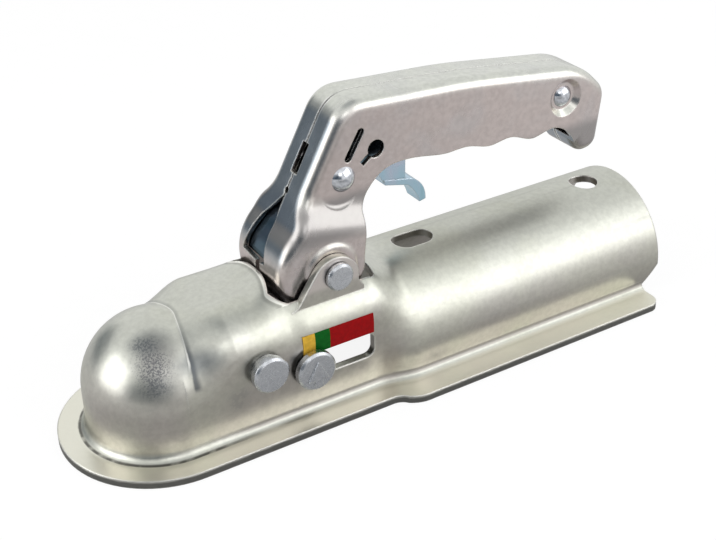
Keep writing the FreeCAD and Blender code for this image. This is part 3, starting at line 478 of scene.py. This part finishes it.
# a painted black shadow line in the crevice at the root
crevice_shadow = product(tree, band(tree, above_flange, 0.00004, 0.00014, 0.0003, 0.0007),
                  smooth_range(tree, streaks, 0.30, 0.55, 0.45, 1.0), opposite(tree, along_side))
color = tint_where(tree, crevice_shadow, color, crevice_shadow_black, 0.85)
# painted shade on the root, which dims its highlight
root = product(tree, band(tree, facing["Z"], 0.06, 0.22, 0.55, 0.72),
               smooth_range(tree, above_flange, 0.0070, 0.0050), along_side)
color = tint_where(tree, root, color, root_shade_grey, 0.75)

upright = maths(tree, "LESS_THAN", maths(tree, "ABSOLUTE", facing["Z"]), 0.3)
cut_side = product(tree, maths(tree, "LESS_THAN", above_flange, -0.0001), upright)
torn = smooth_range(tree, add_share(tree, above_flange, streaks, 0.0012), -0.0001, -0.0006)
color = tint_where(tree, cut_side, color, sheared_grey, 0.8)
color = tint_where(tree, product(tree, cut_side, torn), color, torn_grey, 0.9)
rough = add_share(tree, rough, cut_side, 0.15)
print("flange top at", round(flange_top, 4))

# %% [markdown]
# ## Body: crease and ears
# A fine line marks where the ball-shaped dome meets the box. It lies where the surface leaves the
# dome's sphere, so the distance from the centre of the ball finds it: a painted highlight first, then
# painted shade in the crease. The ears are paler than the box and a little pink.

# %% Draw the crease and tint the ears
dome_radius = 0.0295
crease_shade, crease_highlight, ear_pink = (0.10, 0.11, 0.12, 1), (0.86, 0.86, 0.82, 1), (0.74, 0.68, 0.65, 1)

from_ball = add_node(tree, "VectorMath", {0: add_node(tree, "TexCoord").outputs["Object"]}, operation="LENGTH")
beyond_dome = maths(tree, "SUBTRACT", from_ball.outputs["Value"], dome_radius)
at_dome = product(tree, smooth_range(tree, place["Z"], 0.0075, 0.0100), maths(tree, "LESS_THAN", place["X"], 0.026))
# painted shade in the crease
shade_line = product(tree, band(tree, beyond_dome, 0.0002, 0.0004, 0.0005, 0.0014),
                    smooth_range(tree, place["Z"], 0.0260, 0.0200, 0.35, 1.0), at_dome)
color = tint_where(tree, shade_line, color, crease_shade, 0.85)
# painted highlight beside the crease
highlight_line = product(tree, band(tree, beyond_dome, 0.00006, 0.00012, 0.0002, 0.0004),
                     smooth_range(tree, place["Z"], 0.0150, 0.0190), at_dome)
color = tint_where(tree, highlight_line, color, crease_highlight, 0.6)

ear_face = product(tree, smooth_range(tree, place["Z"], 0.0300, 0.0330),
                   smooth_range(tree, maths(tree, "ABSOLUTE", facing["Y"]), 0.80, 0.95))
color = tint_where(tree, ear_face, color, ear_pink, 0.75)
print("crease and ears drawn")

# %% [markdown]
# ## Body: rim of the lever opening
# The sheet is rolled up a little in front of the lever opening. The roll is not in the shape: it is
# painted, as a painted highlight along the rim and a faint line of painted shade in front of it. In
# plan the opening's front edge bows back in the middle and turns back again at its corners. Two
# parabolas follow it, and the distance in front of them gives the painted highlight band along the
# edge and the faint line of painted shade in front of the band.

# %% Draw the rim of the opening
opening_x, opening_half, beside_opening = 0.0465, 0.0205, 0.0005
bow_depth, corner_depth = 0.0032, 0.0058
bow_share, corner_share = 0.72, 0.28
bow_half, corner_width = bow_share * opening_half, corner_share * opening_half
rim_highlight, rim_shade = (0.95, 0.95, 0.88, 1), (0.22, 0.22, 0.20, 1)

across = maths(tree, "ABSOLUTE", place["Y"])
in_bow = maths(tree, "DIVIDE", across, bow_half, clamp=True)
in_corner = maths(tree, "DIVIDE", maths(tree, "SUBTRACT", across, bow_half), corner_width, clamp=True)
bow = product(tree, in_bow, in_bow, bow_depth)
edge_x = add_share(tree, maths(tree, "SUBTRACT", opening_x, bow), product(tree, in_corner, in_corner), corner_depth)
in_front = maths(tree, "DIVIDE", maths(tree, "SUBTRACT", edge_x, place["X"]), maths(tree, "ADD", 1.0, in_corner))
on_top = product(tree, maths(tree, "GREATER_THAN", place["Z"], 0.0245),
                 maths(tree, "LESS_THAN", across, opening_half + beside_opening))
# painted shade line in front of the rim
shade_line = product(tree, band(tree, in_front, 0.0014, 0.0018, 0.0020, 0.0034), on_top)
color = tint_where(tree, shade_line, color, rim_shade, 0.45)
# painted highlight along the rim
highlight_band = product(tree, band(tree, in_front, -0.0004, 0.0, 0.0012, 0.0016), on_top)
color = tint_where(tree, highlight_band, color, rim_highlight, 0.85)
print("opening starts at", opening_x)

# %% [markdown]
# ## Body: last layers
# The top of the tube is more matt than the rest, because the head is carried and stacked on it. Then
# come the corner dirt, the bright edges and the relief.

# %% Finish the body
tube_top = product(tree, smooth_range(tree, place["X"], 0.098, 0.115), smooth_range(tree, facing["Z"], 0.45, 0.85))
rough = add_share(tree, rough, tube_top, 0.16)
end_zinc(tree, shader, press, color, rough, corner_shading=0.75, edge_radius=0.0011, edge_shine=0.85, bump=0.22)

# %% [markdown]
# ## Smoother zinc on the lever
# The two lever halves are drawn deeper and polished by the tool, so they are smoother and show the
# film's pink and blue more. The lower, wider part is painted a darker grey, as painted shade that dims
# a highlight there, and the front of the column is painted dark navy, as a painted reflection of the
# dark studio. Inside the column it is darker still, because no light gets in past the catch. The seam
# is drawn before the last layers.

# %% Finish the lever
highlight_dimming_grey, front_reflection_navy, inside_black = (0.34, 0.325, 0.32, 1), (0.19, 0.25, 0.31, 1), (0.014, 0.014, 0.013, 1)
seam_highlight, seam_dark = (0.90, 0.90, 0.88, 1), (0.02, 0.02, 0.02, 1)

zinc_lever, tree, shader, press, color, rough = start_zinc(
    "zinc_lever", lit_top_tint=(0.63, 0.645, 0.59, 1), shaded_side_tint=(0.62, 0.54, 0.52, 1),
    cloud_tint=(0.56, 0.56, 0.57, 1), cloud_size=34.0, cloud_amount=0.35, roughness=0.24,
    stretch=(60.0, 300.0, 40.0))
place = split_coordinate(tree, "Object")
# painted shade on the lower, wider part, which dims a highlight
dimmed_band = band(tree, place["Z"], 0.044, 0.051, 0.060, 0.066)
color = tint_where(tree, dimmed_band, color, highlight_dimming_grey, 0.85)
# painted reflection of the dark studio on the front of the column
front = product(tree, smooth_range(tree, split_coordinate(tree, "Normal")["X"], -0.78, -0.87),
                band(tree, place["Z"], 0.038, 0.048, 0.092, 0.104))
color = tint_where(tree, front, color, front_reflection_navy, 0.7)
inside = place_group(tree, hollows, {"Reach": 0.022, "Amount": 0.97})["Hollow Shade"]
column = smooth_range(tree, place["X"], 0.118, 0.102)
color = tint_where(tree, inside, color, inside_black, column)
line = place_group(tree, seam)
# painted highlight on each side of the seam
color = tint_where(tree, line["Bright"], color, seam_highlight, 0.6)
color = tint_where(tree, line["Dark"], color, seam_dark)
end_zinc(tree, shader, press, color, rough, corner_shading=0.80, edge_radius=0.0009, edge_shine=0.50, bump=0.08)

# %% [markdown]
# ## Blue-white pins
# Turned pins are plated with a bluish zinc. Their flat faces have a fine mottled texture, like
# crystals, which a Voronoi texture gives, and their turned rims are painted brighter, partly as a
# painted highlight.

# %% Finish the pins
pin_dim, pin_bright, pin_rim_highlight = (0.47, 0.485, 0.515, 1), (0.60, 0.62, 0.65, 1), (0.88, 0.90, 0.94, 1)
pin_shadow_black = (0.03, 0.03, 0.03, 1)

plated_pins, tree, shader = open_material("plated_pins", Metallic=1.0)
spot = add_node(tree, "TexCoord").outputs["Object"]
crystals = add_node(tree, "TexVoronoi", {"Vector": spot, "Scale": 1500.0}).outputs["Distance"]
mottled = noise(tree, 520.0, 5.0, Roughness=0.7)
mixed = add_share(tree, maths(tree, "MULTIPLY", crystals, 0.5), mottled, 0.7)
rim = place_group(tree, edges, {"Radius": 0.0006, "Break Up": 0.2})
hollow_shade = place_group(tree, hollows, {"Reach": 0.004, "Amount": 0.9})["Hollow Shade"]
color = mix_colors(tree, smooth_range(tree, mixed, 0.25, 0.90), pin_dim, pin_bright)
# rims painted brighter, partly a painted highlight
color = tint_where(tree, rim["Edge"], color, pin_rim_highlight, 0.8)
# painted shade in the pin's hollows
color = mix_colors(tree, hollow_shade, color, pin_shadow_black)
tree.links.new(color, shader.inputs["Base Color"])
tree.links.new(smooth_range(tree, mixed, 0.3, 0.8, 0.34, 0.24), shader.inputs["Roughness"])
lay_relief(tree, shader, 0.12, mixed, Normal=rim["Normal"])
print("pin finish nodes:", len(tree.nodes))

# %% [markdown]
# ## Bright rivets
# The two rivets in the lever are bright domes that mirror the room like ball bearings. They are
# smoother than the pins, and only a faint scatter of dots breaks the mirror.

# %% Finish the rivets
rivet_dim, rivet_bright = (0.50, 0.52, 0.56, 1), (0.68, 0.70, 0.74, 1)

bright_rivets, tree, shader = open_material("bright_rivets", Metallic=1.0)
dots = noise(tree, 900.0, 4.0)
hollow_shade = place_group(tree, hollows, {"Reach": 0.003, "Amount": 0.9})["Hollow Shade"]
color = mix_colors(tree, smooth_range(tree, dots, 0.35, 0.6), rivet_dim, rivet_bright)
# painted shade round the rivets
tree.links.new(mix_colors(tree, hollow_shade, color, pin_shadow_black), shader.inputs["Base Color"])
tree.links.new(smooth_range(tree, dots, 0.3, 0.7, 0.10, 0.20), shader.inputs["Roughness"])
print("rivet finish nodes:", len(tree.nodes))

# %% [markdown]
# ## Blue safety catch
# The catch is plated in a clear blue that turns from teal to pale violet where the film is thicker.
# A wide noise drives a colour ramp through those tints. The nose in front of the rivet is painted a
# dark navy, as painted shade where it is tucked under the lever, the part above the rivet is hidden in
# the lever and painted nearly black as shade, and the bright edges, partly a painted highlight, finish
# the bent sheet.

# %% Finish the catch
film_ramp = [(0.32, (0.28, 0.48, 0.53, 1)), (0.5, (0.40, 0.61, 0.72, 1)), (0.70, (0.56, 0.60, 0.72, 1))]
nose_shade_navy, catch_rim_highlight = (0.035, 0.055, 0.085, 1), (0.85, 0.90, 0.95, 1)
catch_shadow_black, hidden_shade_black = (0.015, 0.022, 0.03, 1), (0.008, 0.010, 0.012, 1)

blue_catch, tree, shader = open_material("blue_catch", Metallic=1.0)
drift = noise(tree, 55.0, 2.0, Distortion=0.8)
hues = add_node(tree, "ValToRGB", {"Fac": drift})
stops = hues.color_ramp.elements
stops[0].position, stops[1].position = film_ramp[0][0], film_ramp[2][0]
stops.new(film_ramp[1][0])
for stop, (_, stop_color) in zip(stops, film_ramp):
    stop.color = stop_color
place = split_coordinate(tree, "Object")
rim = place_group(tree, edges, {"Radius": 0.0006, "Break Up": 0.2})
hollow_shade = place_group(tree, hollows, {"Reach": 0.022, "Amount": 0.92})["Hollow Shade"]
press = place_group(tree, marks, {"Stretch": (60.0, 60.0, 60.0), "Pit Size": 1200.0})
# painted shade on the nose tucked under the lever
color = mix_colors(tree, smooth_range(tree, place["X"], 0.077, 0.073, 0.0, 0.85), hues.outputs["Color"], nose_shade_navy)
# edges painted lighter, partly a painted highlight
color = tint_where(tree, rim["Edge"], color, catch_rim_highlight, 0.7)
# painted shade in the catch's hollows
color = mix_colors(tree, hollow_shade, color, catch_shadow_black)
# painted shade on the part hidden in the lever
color = mix_colors(tree, smooth_range(tree, place["Z"], 0.0705, 0.0730, 0.0, 0.97), color, hidden_shade_black)
tree.links.new(color, shader.inputs["Base Color"])
tree.links.new(smooth_range(tree, drift, 0.3, 0.7, 0.18, 0.28), shader.inputs["Roughness"])
lay_relief(tree, shader, 0.12, press["Height"], Normal=rim["Normal"])
print("catch finish nodes:", len(tree.nodes))

# %% [markdown]
# ## Spring wire and the greased jaw
# Drawn wire is nearly smooth, with a faint grain. The jaw and the slide block work in grease: a dark
# casting with a pitted skin, and glossy patches where the grease lies thick.

# %% Finish the wire and the jaw
wire_dim, wire_bright = (0.28, 0.28, 0.29, 1), (0.46, 0.46, 0.47, 1)
cast_grey, grease_brown = (0.16, 0.155, 0.15, 1), (0.055, 0.045, 0.035, 1)

spring_wire, tree, shader = open_material("spring_wire", Metallic=1.0)
drawn = noise(tree, 700.0, 3.0)
color = mix_colors(tree, smooth_range(tree, drawn, 0.3, 0.7), wire_dim, wire_bright)
tree.links.new(color, shader.inputs["Base Color"])
tree.links.new(smooth_range(tree, drawn, 0.3, 0.7, 0.3, 0.45), shader.inputs["Roughness"])

dark_jaw, tree, shader = open_material("dark_jaw", Metallic=0.9)
grease = noise(tree, 70.0, 2.0)
color = mix_colors(tree, smooth_range(tree, grease, 0.4, 0.65), cast_grey, grease_brown)
tree.links.new(color, shader.inputs["Base Color"])
tree.links.new(smooth_range(tree, grease, 0.4, 0.65, 0.55, 0.25), shader.inputs["Roughness"])
lay_relief(tree, shader, 0.4, noise(tree, 380.0, 6.0, Roughness=0.65), distance=0.0002)
print("inner finishes ready")

# %% [markdown]
# ## Wear label
# A printed foil beside the window tells how worn the parts are: yellow, green and red fields that
# the indicator pin points at. The fields are plain colours, cut by comparing the position along the
# piece with their borders. The foil is varnished, and its print is slightly uneven.

# %% Finish the label
yellow, green, red = (0.86, 0.52, 0.06, 1), (0.002, 0.125, 0.012, 1), (0.36, 0.001, 0.003, 1)
yellow_end, green_end = 0.0554, 0.0622

label_foil, tree, shader = open_material("label_foil", Roughness=0.42, Specular_IOR_Level=0.12)
along = split_coordinate(tree, "Object")["X"]
field = mix_colors(tree, maths(tree, "GREATER_THAN", along, yellow_end), yellow, green)
field = mix_colors(tree, maths(tree, "GREATER_THAN", along, green_end), field, red)
ink = noise(tree, 600.0, 5.0)
uneven = smooth_range(tree, ink, 0.3, 0.7, 0.85, 1.08)
tree.links.new(mix_colors(tree, 1.0, field, uneven, "MULTIPLY"), shader.inputs["Base Color"])
lay_relief(tree, shader, 0.15, ink)
print("label finish nodes:", len(tree.nodes))

# %% [markdown]
# ## Wound springs
# Two torsion springs on the lever pin push the lever shut, and a small one on the catch rivet pushes
# the catch out. A spring follows a rule: a spiral of so many turns, with two straight legs that leave
# it along its tangents. So one Geometry Nodes tree makes all three. It draws the spiral and the legs
# as curves, gives them a round wire section and turns the axis from upright to across the lever. Its
# inputs are the sizes a spring maker would ask for.

# %% Open the spring tree
spring_tree = bpy.data.node_groups.new("wound_spring", "GeometryNodeTree")
spring_sockets = {}
for name, kind in (("Coil Radius", "Float"), ("Wire Radius", "Float"), ("Length", "Float"), ("Turns", "Float"),
                   ("Centre", "Vector"), ("Wire", "Material")):
    socket = spring_tree.interface.new_socket(name=name, in_out="INPUT", socket_type="NodeSocket" + kind)
    spring_sockets[name] = socket.identifier
spring_tree.interface.new_socket(name="Spring", in_out="OUTPUT", socket_type="NodeSocketGeometry")
sizes = spring_tree.nodes.new("NodeGroupInput").outputs


def spring_node(kind, inputs=None, **settings):
    return new_node(spring_tree, kind, inputs, **settings).outputs


print("inputs of the spring tree:", len(spring_sockets))

# %% [markdown]
# ### From curves to wire
# The spiral and the two legs are joined before they get their section, so one wire section serves all
# of them. The transforms then centre the spring and lay it across the lever.

# %% Build the spring tree
steps_per_turn, wire_sides = 28, 10

radius = sizes["Coil Radius"]
coil = spring_node("GeometryNodeCurveSpiral", {"Resolution": steps_per_turn, "Rotations": sizes["Turns"],
                                               "Start Radius": radius, "End Radius": radius,
                                               "Height": sizes["Length"]})
left = spring_node("ShaderNodeMath", {0: radius, 1: -1.0}, operation="MULTIPLY")[0]
curves = [coil["Curve"]]
for side, level in ((radius, 0.0), (left, sizes["Length"])):
    leg_root = spring_node("ShaderNodeCombineXYZ", {"X": side, "Z": level})
    leg_tip = spring_node("ShaderNodeCombineXYZ", {"X": side, "Y": left, "Z": level})
    curves.append(spring_node("GeometryNodeCurvePrimitiveLine", {"Start": leg_root[0], "End": leg_tip[0]})["Curve"])
joined = spring_tree.nodes.new("GeometryNodeJoinGeometry")
for curve in curves:
    spring_tree.links.new(curve, joined.inputs["Geometry"])
section = spring_node("GeometryNodeCurvePrimitiveCircle", {"Resolution": wire_sides, "Radius": sizes["Wire Radius"]})
wire = spring_node("GeometryNodeCurveToMesh", {"Curve": joined.outputs[0], "Profile Curve": section["Curve"],
                                               "Fill Caps": True})
halfway = spring_node("ShaderNodeMath", {0: sizes["Length"], 1: -0.5}, operation="MULTIPLY")[0]
middle = spring_node("ShaderNodeCombineXYZ", {"Z": halfway})
centred = spring_node("GeometryNodeTransform", {"Geometry": wire["Mesh"], "Translation": middle[0]})
placed = spring_node("GeometryNodeTransform", {"Geometry": centred["Geometry"], "Translation": sizes["Centre"],
                                               "Rotation": (math.radians(90), 0.0, 0.0)})
smooth = spring_node("GeometryNodeSetShadeSmooth", {"Geometry": placed["Geometry"]})
real = spring_node("GeometryNodeRealizeInstances", {"Geometry": smooth["Geometry"]})
finished = spring_node("GeometryNodeSetMaterial", {"Geometry": real["Geometry"], "Material": sizes["Wire"]})
ending = spring_tree.nodes.new("NodeGroupOutput")
spring_tree.links.new(finished["Geometry"], ending.inputs["Spring"])
print("spring tree nodes:", len(spring_tree.nodes))

# %% [markdown]
# ### Three springs from one tree
# The frame says how much room each spring has. A spring takes its radius, length and centre from
# there, and stands in for the plain coil of the frame.

# %% Wind the springs
def wind_spring(name, stands_for, wire_radius, turns):
    low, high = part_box(stands_for)
    values = {"Coil Radius": (high[0] - low[0]) / 2 - wire_radius, "Wire Radius": wire_radius,
              "Length": high[1] - low[1] - 2 * wire_radius, "Turns": turns, "Wire": spring_wire,
              "Centre": [(a + b) / 2 for a, b in zip(low, high)]}
    base = put_in_scene(name + "_base", bpy.data.meshes.new(name + "_base"))
    modifier = base.modifiers.new("spring", "NODES")
    modifier.node_group = spring_tree
    for socket_name, value in values.items():
        modifier[spring_sockets[socket_name]] = value
    ready = base.evaluated_get(bpy.context.evaluated_depsgraph_get())
    mesh = bpy.data.meshes.new_from_object(ready)
    bpy.data.objects.remove(base)
    spring = put_in_scene(name, mesh)
    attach(spring, "lever")
    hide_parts(stands_for)
    print(name, "faces", len(mesh.polygons))


lever_wire, catch_wire, coil_turns = 0.00105, 0.00055, 2.5
wind_spring("near_lever_coil", "lever_spring_near", lever_wire, coil_turns)
wind_spring("far_lever_coil", "lever_spring_far", lever_wire, coil_turns)
wind_spring("catch_coil", "catch_spring", catch_wire, coil_turns)

# %% [markdown]
# ## Tall sides of the catch
# Seen through the keyhole in the lever, the catch closes the channel: its two sides stand taller
# behind the rivet than the finger piece shows. They are thin plates with rounded edges. One outline,
# in millimetres from the rivet, gives both faces of a plate, and a loop closes the rim between them.
# The plates swing with the catch.

# %% Stand the catch's sides up
rivet_low, rivet_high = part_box("catch_rivet")
rivet = (rivet_low + rivet_high) / 2
plate_outline_mm = [(2.0, 1.0), (5.0, 8.5), (7.5, 10.6), (21.0, 10.2), (25.5, 7.0), (29.0, -1.5), (20.0, -4.0),
                    (9.0, -4.0)]
plate_inner, plate_outer = 0.0027, 0.0045
edge_round = 0.0003


def side_plate(name, side):
    ring = [(rivet.x + x / 1000, rivet.z + z / 1000) for x, z in plate_outline_mm]
    corners = [(x, side * y, z) for y in (plate_inner, plate_outer) for x, z in ring]
    count = len(ring)
    faces = [list(range(count)), list(range(count, 2 * count))]
    faces += [[i, (i + 1) % count, count + (i + 1) % count, count + i] for i in range(count)]
    mesh = bpy.data.meshes.new(name)
    mesh.from_pydata(corners, [], faces)
    form = bmesh.new()
    form.from_mesh(mesh)
    bmesh.ops.recalc_face_normals(form, faces=form.faces)
    bmesh.ops.bevel(form, geom=form.edges[:], offset=edge_round, segments=2, affect="EDGES")
    form.to_mesh(mesh)
    form.free()
    mesh.materials.append(blue_catch)
    plate = put_in_scene(name, mesh)
    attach(plate, "catch")
    print(name, "faces", len(mesh.polygons))


side_plate("catch_side_near", -1)
side_plate("catch_side_far", 1)

# %% [markdown]
# ## File two burrs off
# Where two edge roundings meet on each lever half, one corner of the solid's mesh stands out as a thin
# burr. A copy of each half takes the place of the solid, with only that corner laid back onto the
# round, so the outline of the lever is clean.

# %% Copy the lever halves and lay the burrs down
burr_x, burr_y, burr_z = 0.06943, 0.0125, 0.07944
laid_x, laid_y, laid_z = 0.07072, 0.01104, 0.07875
close_by = 0.00025


def file_burr(half_name, side):
    half = nodes[half_name]
    mesh = half.data.copy()
    mesh.name = half_name + "_filed"
    mesh.transform(half.matrix_world)
    burr = Vector((burr_x, side * burr_y, burr_z))
    moved = [vertex for vertex in mesh.vertices if (vertex.co - burr).length < close_by]
    for vertex in moved:
        vertex.co = (laid_x, side * laid_y, laid_z)
    mesh.materials.clear()
    mesh.materials.append(zinc_lever)
    filed = put_in_scene(half_name + "_filed", mesh)
    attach(filed, "lever")
    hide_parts(half_name)
    print(filed.name, "corners moved", len(moved))


file_burr("lever_half_near", -1)
file_burr("lever_half_far", 1)

# %% [markdown]
# ## Hand the finishes to the solids
# Each solid carries the name of its material slot, so one loop dresses the whole frame. Only the two
# rivets of the lever get a finish of their own.

# %% Dress the frame
finishes = {"zinc_body": zinc_body, "zinc_lever": zinc_lever, "plated_pins": plated_pins,
            "spring_wire": spring_wire, "blue_catch": blue_catch, "dark_jaw": dark_jaw, "label_foil": label_foil}
for entry in frame["record"]["subparts"]:
    mesh = nodes[entry["node"]].data
    mesh.materials.clear()
    is_rivet = entry["node"] in ("catch_rivet", "grip_rivet")
    mesh.materials.append(bright_rivets if is_rivet else finishes[entry["material_slot"]])

# %% [markdown]
# ## Floor
# The floor is a plain square at the height of the part's lowest point. It is not attached to the part.

# %% Place the floor
half_floor = 4.0
floor_mesh = bpy.data.meshes.new("floor")
floor_mesh.from_pydata([(-half_floor, -half_floor, floor_z), (half_floor, -half_floor, floor_z),
                        (half_floor, half_floor, floor_z), (-half_floor, half_floor, floor_z)], [], [(0, 1, 2, 3)])
floor = put_in_scene("floor", floor_mesh)
print("floor at", round(floor_z, 4))

# %% [markdown]
# ### White paper
# A white background has to come from the paper's colour and not from more light on the metal, so most
# of the paper is an emission that only camera, glossy and transmission rays see. The rest is an
# ordinary matt white, which keeps the object's soft shadow. Mirrors see a dimmer floor beside the
# object, a painted shadow of it, and in front of it, where the camera and its stand would be.

# %% Paint the floor
paper_low, paper_high, white = (0.86, 0.86, 0.86, 1), (0.90, 0.90, 0.90, 1), (1, 1, 1, 1)
glow_for_camera, glow_for_mirrors, mirror_level = 0.80, 0.60, 0.80

paper, tree, shader = open_material("white_paper", Roughness=0.9)
fibres = smooth_range(tree, noise(tree, 90.0, 4.0), 0.3, 0.7)
tree.links.new(mix_colors(tree, fibres, paper_low, paper_high), shader.inputs["Base Color"])
rays = add_node(tree, "LightPath").outputs
seen = maths(tree, "MAXIMUM", rays["Is Camera Ray"], rays["Is Transmission Ray"])
# painted shadow beside the object, seen only in mirrors
painted_shadow_beside = place_group(tree, wear, {"Place": (0.10, -0.03, floor_z), "Squeeze": (0.30, 1.0, 1.0), "Radius": 0.10,
                                  "Speck": 0.0, "Amount": 0.60})["Mask"]
before = place_group(tree, wear, {"Place": (0.02, -0.42, floor_z), "Radius": 0.40, "Speck": 0.0,
                                  "Amount": 0.80})["Mask"]
dimmed = maths(tree, "SUBTRACT", mirror_level, maths(tree, "MULTIPLY", painted_shadow_beside, mirror_level))
mirrored = product(tree, dimmed, opposite(tree, before))
glow = add_node(tree, "Emission", {"Color": mix_colors(tree, seen, mirrored, white),
                                   "Strength": add_share(tree, 1.0, seen, 0.12)})
share = maths(tree, "MAXIMUM", maths(tree, "MULTIPLY", seen, glow_for_camera),
              maths(tree, "MULTIPLY", rays["Is Glossy Ray"], glow_for_mirrors))
painted = add_node(tree, "MixShader", {0: share, 1: shader.outputs["BSDF"], 2: glow.outputs["Emission"]})
tree.links.new(painted.outputs["Shader"], tree.nodes["Material Output"].inputs["Surface"])
floor_mesh.materials.append(paper)
print("floor finish nodes:", len(tree.nodes))

# %% [markdown]
# ## Light
# Metal shows the room more than it shows the lamps, so the room is designed with care. Two large soft
# boxes stand left of the camera and right of it, where the dome and the tube have their bright bands,
# and a small one just right of the camera fills the front. A box's brightness in a mirror is its
# power divided by pi and by its area, so a large box needs more watts for the same shine.

# %% Place the lamps
def direction(azimuth_deg, elevation_deg):
    azimuth, elevation = math.radians(azimuth_deg), math.radians(elevation_deg)
    return (math.cos(azimuth) * math.cos(elevation), math.sin(azimuth) * math.cos(elevation), math.sin(elevation))


lit_centre = Vector((0.09, 0.0, 0.03))


def soft_box(name, azimuth_deg, elevation_deg, distance, width, height, watts):
    data = bpy.data.lights.new(name, "AREA")
    data.shape = "RECTANGLE"
    data.size, data.size_y = width, height
    data.energy = watts
    lamp = put_in_scene(name, data)
    toward = Vector(direction(azimuth_deg, elevation_deg))
    lamp.location = lit_centre + toward * distance
    lamp.rotation_euler = (-toward).to_track_quat("-Z", "Y").to_euler()
    print(name, [round(v, 2) for v in lamp.location], "watts", watts)


soft_box("left_box", 174, 20, 1.0, 0.74, 0.66, 2.6)
soft_box("front_box", -104, 33, 1.1, 0.42, 0.34, 0.60)
soft_box("right_box", -48, 27, 1.1, 1.06, 0.70, 3.1)

# %% [markdown]
# ## World
# The background is white for the camera and for reflections. A real studio also has dark places,
# such as the ceiling and the corner where the photographer stands, and bright metal looks like metal
# only because it shows them. Each dark place is a soft patch round one direction, made by a small
# group, and only glossy rays see it.

# %% Build a studio patch
patch, patch_in, patch_out = open_group(
    "studio_patch", [("Direction", "Vector", (0.0, 0.0, 1.0)), ("Inner", "Float", 0.9),
                     ("Outer", "Float", 0.7), ("Strength", "Float", 0.8)], [("Shade", "Float")])
look = add_node(patch, "TexCoord").outputs["Generated"]
nearness = add_node(patch, "VectorMath", {0: look, 1: patch_in["Direction"]}, operation="DOT_PRODUCT")
falloff = smooth_range(patch, nearness.outputs["Value"], patch_in["Outer"], patch_in["Inner"])
patch.links.new(opposite(patch, product(patch, falloff, patch_in["Strength"])), patch_out["Shade"])
print("studio patch nodes:", len(patch.nodes))

# %% [markdown]
# ### Dark places
# Each row of the table is one dark place: its azimuth and elevation, the angle within which the patch
# is full and the one beyond which it is gone, all in degrees, and its strength. The light that falls
# on matt surfaces comes from a plain room without them.

# %% Paint the world
dark_places = [(-90, 88, 8, 32, 0.52), (-130, -2, 14, 46, 0.94), (117, 8, 13, 27, 0.80)]
night_blue = (0.020, 0.050, 0.080, 1)
room_brightness = 0.45


def cosine(degrees):
    return math.cos(math.radians(degrees))


world = bpy.data.worlds.new("studio")
bpy.context.scene.world = world
world.use_nodes = True
sky = world.node_tree
sky.nodes.clear()
shades = [place_group(sky, patch, {"Direction": direction(azimuth_deg, elevation_deg), "Inner": cosine(inner_deg),
                                   "Outer": cosine(outer_deg), "Strength": strength})["Shade"]
          for azimuth_deg, elevation_deg, inner_deg, outer_deg, strength in dark_places]
rays = add_node(sky, "LightPath").outputs
in_the_room = mix_colors(sky, product(sky, *shades), night_blue, white)
mirrored = mix_colors(sky, rays["Is Glossy Ray"], white, in_the_room)
background = add_node(sky, "Background", {"Color": mirrored, "Strength": 1.0})
room = add_node(sky, "Background", {"Color": white, "Strength": room_brightness})
shown = maths(sky, "MAXIMUM", rays["Is Camera Ray"], rays["Is Glossy Ray"])
shown = maths(sky, "MAXIMUM", shown, rays["Is Transmission Ray"])
mix = add_node(sky, "MixShader", {0: shown, 1: room.outputs["Background"], 2: background.outputs["Background"]})
add_node(sky, "OutputWorld", {"Surface": mix.outputs["Shader"]})
bpy.context.scene.view_settings.view_transform = "Standard"
print("dark places:", len(dark_places))
